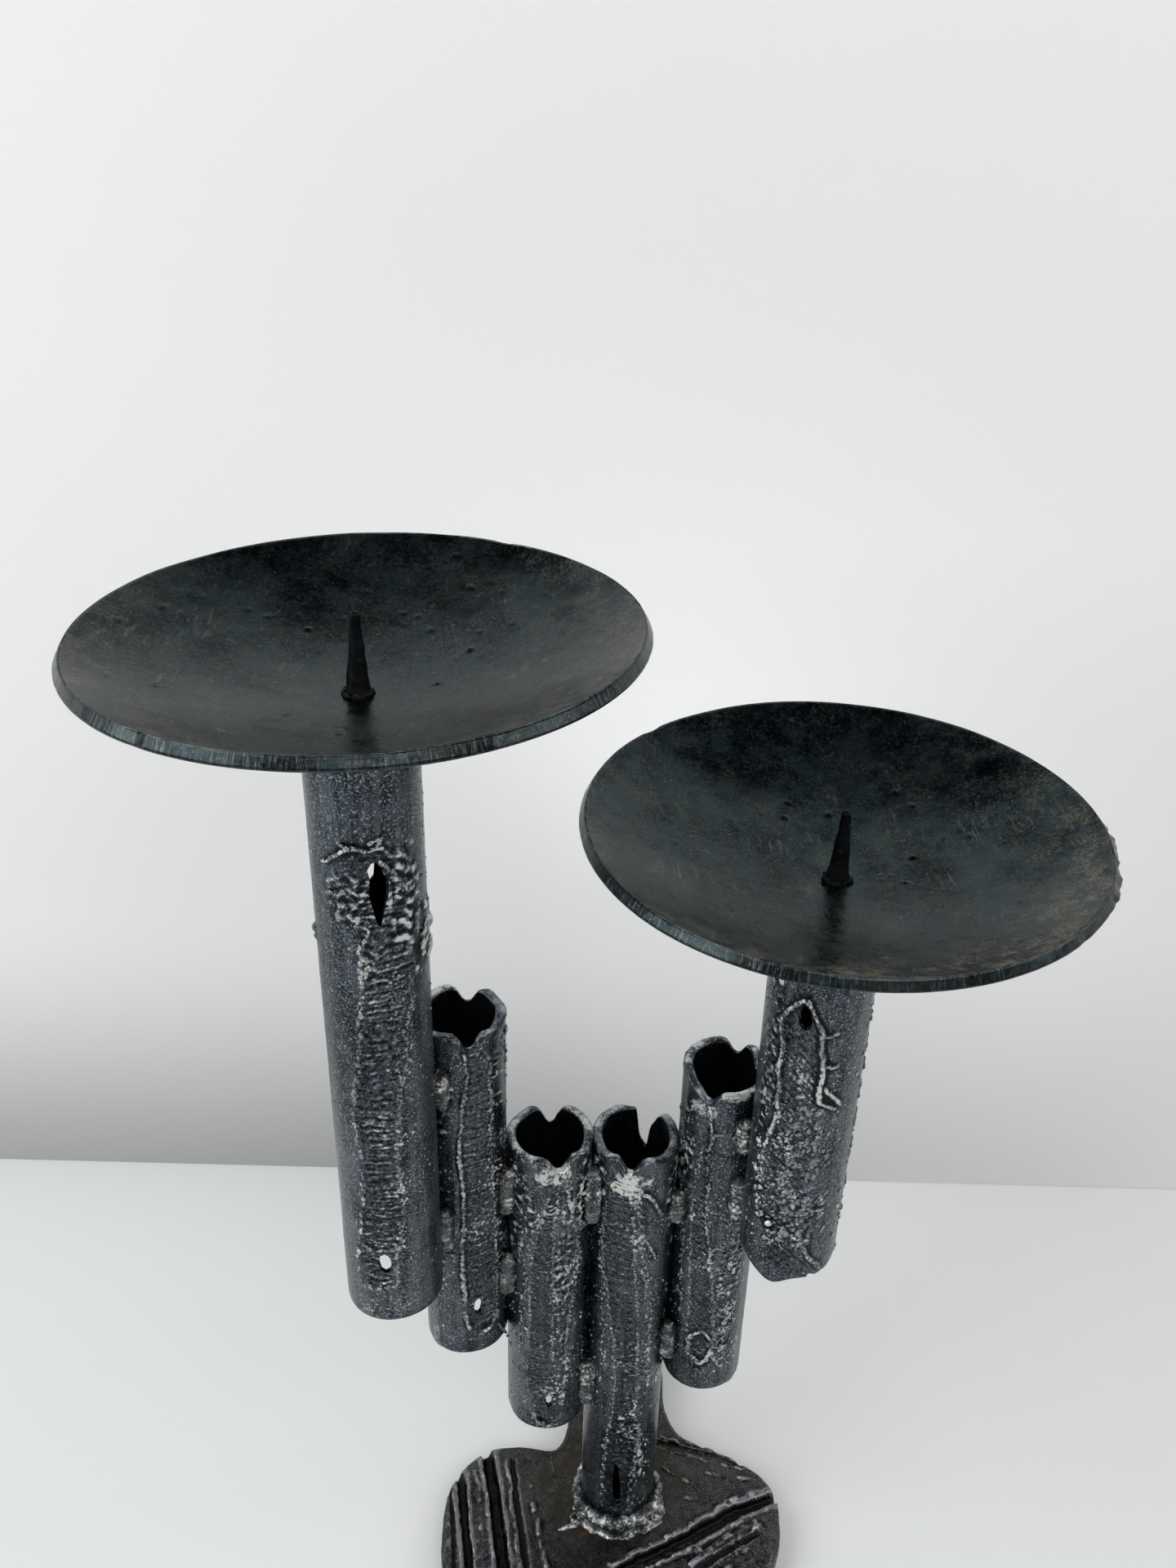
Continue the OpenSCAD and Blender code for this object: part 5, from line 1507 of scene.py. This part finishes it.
def make_drop_tree():
    """Geometry nodes: a small uneven ball at each point, marked as proud on its outer side and sunk where it
    meets the tube, so that its material gives it pale paint and a painted highlight on top and painted shade
    at its foot.
    """
    tree, start = start_tree("slag_drops")
    place = tree.nodes.new("GeometryNodeInputPosition").outputs[0]
    # Outer side proud, inner side sunk: a painted highlight on top and painted shade underneath
    inward = add_node(tree, "ShaderNodeSeparateXYZ", None, {0: place}).outputs["Y"]
    proud = between(tree, inward, 0.1, -0.95, -0.5, 1.1, "LINEAR")
    size, turn = named_vector(tree, "coin_size"), named_vector(tree, "coin_turn")
    half_width = add_node(tree, "ShaderNodeSeparateXYZ", None, {0: size}).outputs["X"]
    drops = tree.nodes.new("GeometryNodeJoinGeometry")
    for detail, chosen in ((1, "LESS_EQUAL"), (2, "GREATER_THAN")):
        # A plainer ball does for the small drops
        ball = add_node(tree, "GeometryNodeMeshIcoSphere", None, {"Radius": 1.0, "Subdivisions": detail})
        these = add_node(tree, "FunctionNodeCompare", {"data_type": "FLOAT", "operation": chosen},
                         {"A": half_width, "B": SMALL_DROP_HALF * MM}).outputs["Result"]
        drop = marked(tree, ball.outputs["Mesh"], proud)
        made = add_node(tree, "GeometryNodeInstanceOnPoints", None,
                        {"Points": start["Geometry"], "Selection": these, "Instance": drop,
                         "Rotation": turn, "Scale": size})
        tree.links.new(made.outputs[0], drops.inputs[0])
    solid = add_node(tree, "GeometryNodeRealizeInstances", None, {"Geometry": drops.outputs[0]})
    lumps = surface_noise(tree, 1600.0, 1.0)
    end_tree(tree, roughened(tree, solid.outputs[0], lumps, 0.45 * MM), start["Material"])
    return tree


WELD_TREE = make_weld_tree()
DROP_TREE = make_drop_tree()


def baked(seed_object, tree, values, name):
    """The plain mesh that a geometry nodes tree makes from an object, as a new object."""
    modifier = seed_object.modifiers.new("shape", "NODES")
    modifier.node_group = tree
    for item in tree.interface.items_tree:
        if getattr(item, "in_out", "") == "INPUT" and item.name in values:
            modifier[item.identifier] = values[item.name]
    depsgraph = bpy.context.evaluated_depsgraph_get()
    mesh = bpy.data.meshes.new_from_object(seed_object.evaluated_get(depsgraph), depsgraph=depsgraph)
    mesh.name = name
    seed_object.modifiers.remove(modifier)
    return new_object(name, mesh)


def path_of(name, coins):
    """An object of points that carries each coin's half sizes, its turns and, where given, its slag."""
    mesh = bpy.data.meshes.new(name)
    mesh.from_pydata([tuple(np.asarray(c[0]) * MM) for c in coins], [], [])
    for key, index, unit in (("coin_size", 1, MM), ("coin_turn", 2, 1.0)):
        layer = mesh.attributes.new(key, "FLOAT_VECTOR", "POINT")
        layer.data.foreach_set("vector", (np.array([c[index] for c in coins], float) * unit).ravel())
    if len(coins[0]) > 3:
        mesh.attributes.new("slag", "FLOAT", "POINT").data.foreach_set("value", [c[3] for c in coins])
    return new_object(name, mesh)


def make_weld(name, slot, material, nodes, coins, voxel=0.3, rough=0.25, grain=500.0):
    """A weld from a list of coins: (middle in mm, half sizes in mm, turns in radians)."""
    path = path_of(name + "_path", coins)
    piece = baked(path, WELD_TREE, {"Voxel Size": voxel * MM, "Roughness": rough * MM, "Grain Scale": grain,
                                    "Material": material}, name)
    bpy.data.objects.remove(path)
    return fit(piece, slot, *nodes)


def make_drops(name, face, radius, gone, angles, place):
    """The separate drops of slag on one tube, set on its finished surface."""
    coins = []
    for a, z, wide, high, tall, tilt, pale in face.drops:
        column = int(np.argmin(np.abs(wrapped(angles - a))))
        row = int(np.argmin(np.abs(face.height[:, column] - z)))
        if gone[max(0, row - 1):row + 1, column - 1:column + 1].any() or z > face.height[-1, column] - 0.3:
            continue
        middle = place(np.array(a), np.array(radius[row, column] - 0.15 * tall), np.array(z))
        coins.append((middle, (wide, tall, high), (0.0, tilt, a), pale))
    path = path_of(name + "_path", coins)
    piece = baked(path, DROP_TREE, {"Material": SPATTER}, name)
    bpy.data.objects.remove(path)
    return fit(piece, "gouged_steel")


def crevice(p, p_r, q, q_r, bead_r, side):
    """Where a bead of a given radius touches two tubes, on their front (-1) or back (1)."""
    d = np.linalg.norm(q - p)
    u = (q - p) / d
    v = np.array([-u[1], u[0]])
    along = ((p_r + bead_r) ** 2 - (q_r + bead_r) ** 2 + d * d) / (2 * d)
    off = math.sqrt((p_r + bead_r) ** 2 - along * along)
    return p + along * u + side * off * v, u, v * side


def tack_coins(p, p_r, q, q_r, side, low, high, rng, proud):
    """Coins for one tack: each a little out of line with the last."""
    at, u, out = crevice(p, p_r, q, q_r, TACK_R, side)
    coins = []
    level = low + 1.2
    facing = math.atan2(out[1], out[0]) - math.pi / 2
    while level < high - 0.8:
        share = (level - low) / (high - low)
        swell = 0.72 + 0.28 * math.sin(math.pi * share) + rng.uniform(-0.1, 0.1)
        place = at + u * rng.uniform(-0.45, 0.45) + out * (proud + rng.uniform(-0.35, 0.35))
        coins.append(((place[0], place[1], level),
                      (TACK_WIDE * swell, TACK_DEEP * swell + proud * 0.3, rng.uniform(0.95, 1.25)),
                      (side * rng.uniform(0.25, 0.55), rng.uniform(-0.2, 0.2), facing)))
        if rng.uniform() < 0.5:
            spot = place + u * rng.uniform(-2.4, 2.4) + out * rng.uniform(0.2, 1.0)
            r = rng.uniform(0.5, 1.0)
            coins.append(((spot[0], spot[1], level + rng.uniform(-1, 1)), (r, r, r), (0, 0, 0)))
        level += rng.uniform(1.45, 1.85)
    return coins


def foot_ring(place, at, seed):
    """Slag in a ring round a spike's foot."""
    rng = np.random.default_rng(seed)
    coins = []
    for k in range(FOOT_RING_DROPS):
        a = 2 * math.pi * k / FOOT_RING_DROPS + rng.uniform(-0.15, 0.15)
        r = rng.uniform(2.7, 3.3)
        wide = rng.uniform(0.7, 1.1)
        x, y = at[0] + r * math.cos(a), at[1] + r * math.sin(a)
        coins.append(((x, y, place.middle[2] + rng.uniform(0.0, 0.7)),
                      (wide, wide, wide * rng.uniform(0.7, 1.1)), (0, 0, rng.uniform(0, 3))))
    return coins


def under_dish_ring(place, at, seed):
    """The weld between a dish's underside and the end of its tube."""
    rng = np.random.default_rng(seed)
    ball = place.put([0, 0, DISH_SPHERE_R])
    coins = []
    for k in range(DISH_WELD_COINS):
        a = 2 * math.pi * k / DISH_WELD_COINS
        r = OUTER_R + 0.35 + rng.uniform(-0.2, 0.3)
        x, y = at[0] + r * math.cos(a), at[1] + r * math.sin(a)
        off = math.hypot(x - ball[0], y - ball[1])
        level = ball[2] - math.sqrt((DISH_SPHERE_R + PLATE_T) ** 2 - off * off) - 0.5
        wide = rng.uniform(1.3, 1.9)
        coins.append(((x, y, level), (1.5, wide, 1.7 * rng.uniform(0.8, 1.1)), (0, 0, a)))
    return coins


def foot_weld():
    """The weld round the foot of the stem: thick and lumpy in front, thin behind, with a curl at its left."""
    rng = np.random.default_rng(81)
    coins = []
    for degrees in np.arange(-180, 180, 6.0):
        a = math.radians(degrees)
        front = math.cos(a)
        r = INNER_R + (1.9 if front > 0 else 1.0) + rng.uniform(-0.4, 0.5)
        wide = (2.2 if front > 0.1 else 1.5) * rng.uniform(0.8, 1.2)
        coins.append(((r * math.sin(a), -r * math.cos(a), BASE_T + rng.uniform(-0.3, 0.5)),
                      (wide, wide, wide * rng.uniform(0.55, 0.95)), (0, 0, a)))
        if front > 0.25:
            # The outer, lower run of the weld in front
            r = 14.5 + 4.2 * smooth_step(0.25, 0.75, front) + rng.uniform(-0.5, 0.5)
            wide = rng.uniform(1.5, 2.2)
            coins.append(((r * math.sin(a), -r * math.cos(a), BASE_T + rng.uniform(-0.2, 0.3)),
                          (wide, wide, rng.uniform(0.8, 1.3)), (0, 0, a)))
    for t in np.linspace(0, 2 * math.pi, 12, endpoint=False):
        coins.append(((-14.2 + 2.6 * math.cos(t), -12.2 + 1.9 * math.sin(t), BASE_T + 0.6), (0.9, 0.9, 1.0),
                      (0, 0, 0)))
    for share in np.linspace(0, 1, 9):
        coins.append(((-15.5 - 5.5 * share, -14.5 - 1.5 * share, BASE_T + 0.2), (1.1 - 0.5 * share,) * 3,
                      (0, 0, 0)))
    return coins


# Base plate

BASE_COLUMNS = 620
BASE_RINGS = 118
SIDE_RINGS = 14
# The plate's top starts under the stem
UNDER_STEM_R = INNER_R - 3.5
# How far in and down its upper edge is worn, and how far in its lower edge
EDGE_ROUND = 0.5
EDGE_FALL = 0.8
UNDERSIDE_IN = 0.6
# Spacing and depth of the drag lines down its edge
DRAG_PITCH = 1.9
DRAG_DEEP = 0.10


def base_outline(node):
    """Reach of the base plate from the stem's axis in each direction, from its solid."""
    points = np.array([v.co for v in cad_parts[node].data.vertices]) / MM
    low = points[points[:, 2] < 0.2]
    turn = np.arctan2(low[:, 1], low[:, 0])
    order = np.argsort(turn)
    return turn[order], np.hypot(low[:, 0], low[:, 1])[order]


def path_distance(x, y, path):
    """Distance from a path of points, how far along it the nearest part lies, and its length."""
    off, along, total = np.full(x.shape, 1e6), np.zeros(x.shape), 0.0
    for (x0, y0), (x1, y1) in zip(path[:-1], path[1:]):
        length = math.hypot(x1 - x0, y1 - y0)
        t = np.clip(((x - x0) * (x1 - x0) + (y - y0) * (y1 - y0)) / length ** 2, 0, 1)
        here = np.hypot(x - x0 - t * (x1 - x0), y - y0 - t * (y1 - y0))
        along = np.where(here < off, total + t * length, along)
        off = np.minimum(off, here)
        total += length
    return off, along, total


def groove(x, y, p, path, widths, deep, ragged=0.4):
    """A torch-cut groove with steep ragged sides and a rippled floor; returns its depth."""
    off, along, length = path_distance(x, y, path)
    wide = np.interp(along / length, np.linspace(0, 1, len(widths)), widths)
    off = off + ragged * rough_noise(p, 3.0, 61, 3)
    inside = np.clip(1 - np.abs(2 * off / wide) ** 4, 0, 1) ** 0.6
    ends = smooth_step(0.0, 1.5, along) * smooth_step(length, length - 1.5, along)
    floor = 1 + 0.12 * rough_noise(p, 1.5, 62, 2)
    return deep * inside * ends * floor


def slag_ridge(x, y, p, path, wide, tall, ragged=0.7):
    """A broken ridge of slag along a path; returns its height."""
    bent = ragged * rough_noise(p, 5.0, 63, 3)
    off, along, length = path_distance(x + bent, y + 0.6 * bent, path)
    body = np.sqrt(np.clip(1 - (2 * off / wide) ** 2, 0, 1))
    ends = smooth_step(0.0, 2.0, along) * smooth_step(length, length - 2.0, along)
    return tall * body * ends * np.clip(0.45 + 1.3 * rough_noise(p, 2.4, 64, 3), 0.0, 1.4)


def make_base():
    """The flame-cut plate: two lobes and a tongue, scored with torch grooves and slag ridges."""
    turn = np.linspace(-math.pi, math.pi, BASE_COLUMNS, endpoint=False)
    cad_turn, cad_reach = base_outline("base_plate")
    reach = np.interp(turn, cad_turn, cad_reach, period=2 * math.pi)
    edge = np.stack([reach * np.cos(turn), reach * np.sin(turn), 0 * turn], axis=-1)
    cut = 0.28 * rough_noise(edge, 5.0, 71, 3)
    shares = (np.arange(BASE_RINGS + 1) / BASE_RINGS)[:, None]
    top_reach = reach + cut - EDGE_ROUND
    radius = UNDER_STEM_R + (top_reach - UNDER_STEM_R)[None, :] * shares
    x, y = radius * np.cos(turn), radius * np.sin(turn)
    p = np.stack([x, y, 0 * x + 3], axis=-1)
    lift = 0.16 * rough_noise(p, 7, 72, 3) + 0.06 * rough_noise(p, 1.2, 73, 2)
    sunk = np.zeros_like(x)
    for path, widths, deep in (
            ([(-55.4, 7), (-51.1, -27.5), (-49.0, -45)], (3.2, 2.7, 2.7), 2.2),
            ([(-46.6, 17), (-43.2, -2.2), (-39.9, -27.9), (-37.8, -45)], (4.4, 4.1, 4.8, 4.8), 3.2),
            ([(-13.0, -35.0), (0.0, -30.0), (19.9, -21.9), (41.5, -11.1), (60.0, -5.5)],
             (3.0, 5.2, 4.9, 4.6, 3.0), 3.0),
            ([(14.5, 15.4), (29.5, 10.2), (46, 5.0)], (2.6, 3.2, 2.6), 1.2),
            ([(-58.6, 0), (-57.0, -14), (-56.0, -30)], (1.2, 1.8, 1.2), 0.8),
            ([(-37.0, 11.5), (-35.4, -4.3), (-32.2, -28.2), (-30.5, -44)], (1.6, 2.2, 2.4, 2.0), 0.9),
            ([(12.0, -40), (30, -27.5), (48, -19)], (2.2, 3.0, 2.0), 1.1)):
        sunk = np.maximum(sunk, groove(x, y, p, path, widths, deep))
    raised = np.zeros_like(x)
    for path, wide, tall in (
            ([(-57.6, 3.0), (-53.2, -27.4), (-51.2, -44)], 1.5, 0.8),
            ([(-53.2, 6.4), (-49.3, -27.5), (-47.2, -45)], 1.6, 0.8),
            ([(-50.6, 9.0), (-47.4, -12.0), (-45.2, -45)], 1.3, 0.5),
            ([(-48.3, 12), (-45.8, -4), (-42.7, -27.8), (-40.4, -44)], 1.5, 0.9),
            ([(-43.4, 14), (-40.8, -0.3), (-37.0, -28), (-35.0, -44)], 1.8, 0.9),
            ([(-38.9, 11.6), (-37.5, -4.3), (-34.4, -28.2), (-32.6, -44)], 1.6, 0.9),
            ([(-31.3, 12.4), (-29.7, -4.6), (-25.6, -28.5), (-23.8, -43)], 1.9, 0.9),
            ([(-23.6, 12.5), (-22.0, 2), (-22.6, -8)], 1.4, 0.5),
            ([(-6.3, -28.8), (17.9, -18.9), (41.7, -6.7), (54.4, -4.0)], 1.8, 1.1),
            ([(6.1, -30.3), (21.9, -24.8), (41.4, -15.5), (56.5, -9.0)], 1.9, 1.2),
            ([(21.1, -30.4), (36, -20.2), (54.8, -12.6)], 2.2, 1.0),
            ([(15.4, 17.9), (29.4, 13.2), (44.3, 8.5)], 1.9, 1.3),
            ([(16, 12.0), (30, 8.0), (46, 3.0)], 1.2, 0.6),
            ([(15.1, 5.5), (22.2, 1.3), (29.2, -3)], 1.4, 0.9),
            ([(30, 2.9), (39.2, 0.6), (50.4, -0.8)], 1.4, 0.9),
            ([(20, -5), (30, -8), (41, -8.6)], 1.5, 0.6)):
        raised = np.maximum(raised, slag_ridge(x, y, p, path, wide, tall))
    for cx, cy, wide in ((24.5, -25.2, 3.0), (39.7, -25.8, 4.6), (47.5, -17, 3.4), (33.0, -31.0, 3.6)):
        clot = smooth_step(1.2, 0.4, np.hypot(x - cx, y - cy) / wide)
        raised = np.maximum(raised, 1.5 * clot * np.clip(rough_noise(p, 2.2, 78, 3) + 0.35, 0, 1))
    corner = smooth_step(16, 6, np.hypot(x - 42, y + 30))
    raised = raised + corner * 1.1 * np.clip(rough_noise(p, 4.5, 74, 4) + 0.1, 0, 1)
    left_lobe = smooth_step(-38, -46, x)
    raised = raised + left_lobe * 0.5 * np.clip(rough_noise(p, 2.0, 75, 3) + 0.1, 0, 1)
    level = BASE_T + lift * (1 - np.clip(sunk, 0, 1) * 0.5) + raised - sunk
    near_edge = top_reach[None, :] - radius
    level = level - EDGE_FALL * smooth_step(1.6, 0.0, near_edge) ** 2
    shape = raised - sunk + lift
    relief = (shape - blurred(shape, 3)) / 0.32
    grids = [np.stack([x, y, level], axis=-1)]
    masks = {"relief": [np.clip(relief, -1.5, 1.5)], "slag": [np.clip(raised / 1.6, 0, 0.9)],
             "rust": [smooth_step(44, 16, np.hypot(x + 4, y - 4))]}
    # The flame left its drag lines down the edge of the plate
    top_level = level[-1]
    run = np.cumsum(np.hypot(*np.diff(edge[:, :2], axis=0, append=edge[:1, :2]).T))
    drag = np.sin(2 * math.pi * run / DRAG_PITCH + 2.5 * rough_noise(edge, 6, 76, 2))
    for k in range(1, SIDE_RINGS + 1):
        share = k / SIDE_RINGS
        down = top_level * (1 - share)
        ring = np.stack([edge[:, 0], edge[:, 1], down], axis=-1)
        grit = rough_noise(ring, 2.6, 77, 3)
        r = reach + cut + DRAG_DEEP * drag * np.sin(math.pi * share) + 0.18 * grit
        if k == SIDE_RINGS:
            r = r - UNDERSIDE_IN
        grids.append(np.stack([r * np.cos(turn), r * np.sin(turn), down], axis=-1)[None])
        masks["relief"].append((0.6 * drag + 0.8 * grit)[None])
        masks["slag"].append(np.full((1, BASE_COLUMNS), 0.1))
        masks["rust"].append(np.full((1, BASE_COLUMNS), 0.2))
    points = np.concatenate(grids)
    rings = points.shape[0]
    points = points.reshape(-1, 3)
    number = np.arange(rings * BASE_COLUMNS).reshape(rings, BASE_COLUMNS)
    faces = grid_quads(number).reshape(-1, 4)[:, ::-1].tolist()
    top, low = len(points), len(points) + 1
    points = np.concatenate([points, [[0, 0, BASE_T - 0.1], [0, 0, 0]]])
    faces += [(top, int(a), int(b)) for a, b in zip(number[0], np.roll(number[0], -1))]
    faces += [(low, int(b), int(a)) for a, b in zip(number[-1], np.roll(number[-1], -1))]
    masks = {key: np.append(np.concatenate(rows).ravel(), [0.0, 0.0]) for key, rows in masks.items()}
    return fit(make_mesh("base", points, faces, BASE_STEEL, masks), "base_steel", "base_plate")


# Everything is put together

PAIRS = {
    "outer_left": (OUTER_LEFT_AT, OUTER_R, INNER_LEFT_AT, INNER_R),
    "inner_left": (INNER_LEFT_AT, INNER_R, CENTRE_LEFT_AT, INNER_R),
    "centre": (CENTRE_LEFT_AT, INNER_R, STEM_AT, INNER_R),
    "inner_right": (STEM_AT, INNER_R, INNER_RIGHT_AT, INNER_R),
    "outer_right": (INNER_RIGHT_AT, INNER_R, OUTER_RIGHT_AT, OUTER_R),
}
# Lowest and highest point of each tack on a pair's front and back, and how far it stands proud
TACKS = {
    "outer_left": ([(142, 158, 0.2), (196, 208, 0.4)], [(144, 158, 0.2), (192, 206, 0.2)]),
    "inner_left": ([(117, 131, 0.6), (150, 167, 0.7)], [(107, 118, 0.3), (149, 163, 0.3)]),
    "centre": ([(64, 83, 0.8), (146, 166, 1.0)], [(70, 86, 0.3), (144, 164, 0.4)]),
    "inner_right": ([(85, 101, 0.8), (145, 157, 0.7)], [(86, 104, 0.3), (142, 162, 0.3)]),
    "outer_right": ([(153, 168, 0.3), (178, 190, 0.5)], [(155, 168, 0.2), (176, 190, 0.2)]),
}
# Side of a pair in the crevice: its name, and how much further all its tacks stand out
TACK_SIDES = {-1: ("front", 0.7), 1: ("back", 0.2)}


def make_tacks():
    """Two tacks in the front crevice and two in the back crevice of each pair of tubes."""
    for order, (pair, sides) in enumerate(TACKS.items()):
        for side, tacks in zip((-1, 1), sides):
            place, out = TACK_SIDES[side]
            rng = np.random.default_rng(100 + 2 * order + side)
            coins = [coin for low, high, proud in tacks
                     for coin in tack_coins(*PAIRS[pair], side, low, high, rng, proud + out)]
            make_weld(f"tacks_{pair}_on_{place}", "weld_metal", WELD, [f"tacks_{pair}_{place}"], coins,
                      voxel=0.28, rough=0.10, grain=330.0)


bpy.context.scene.view_settings.view_transform = "Standard"
set_camera()
make_stage()
set_light()

for label, look in TUBES.items():
    gouged_tube("tube_" + label, look)

LEFT_DISH = DishPlace(LEFT_DISH_AT, LEFT_DISH_LEVEL, LEFT_DISH_LEAN)
RIGHT_DISH = DishPlace(RIGHT_DISH_AT, RIGHT_DISH_LEVEL, RIGHT_DISH_LEAN)
make_dish("dish_left", "pan_left", LEFT_DISH, 3, [(-35, 4.5, 0.7), (150, 5, 0.6), (12, 3, 0.4)])
make_dish("dish_right", "pan_right", RIGHT_DISH, 9, [(-138, 5, 0.7), (70, 3, 0.6), (40, 3, 0.5)],
          (52, 96, 1.1))
make_spike("pricket_left", "spike_left", LEFT_DISH, LEFT_SPIKE_AT, 5)
make_spike("pricket_right", "spike_right", RIGHT_DISH, RIGHT_SPIKE_AT, 8)
make_weld("slag_spike_left", "spike_steel", SPIKE, ["spike_weld_left"],
          foot_ring(LEFT_DISH, LEFT_SPIKE_AT, 31), voxel=0.25, rough=0.3)
make_weld("slag_spike_right", "spike_steel", SPIKE, ["spike_weld_right"],
          foot_ring(RIGHT_DISH, RIGHT_SPIKE_AT, 32), voxel=0.25, rough=0.3)
make_weld("weld_under_dish_left", "weld_metal", GOUGED, ["pan_weld_left"],
          under_dish_ring(LEFT_DISH, OUTER_LEFT_AT, 33))
make_weld("weld_under_dish_right", "weld_metal", GOUGED, ["pan_weld_right"],
          under_dish_ring(RIGHT_DISH, OUTER_RIGHT_AT, 34))
make_tacks()
make_weld("weld_at_foot", "weld_metal", WELD, ["base_weld"], foot_weld(), voxel=0.32, rough=0.15, grain=260.0)
make_base()
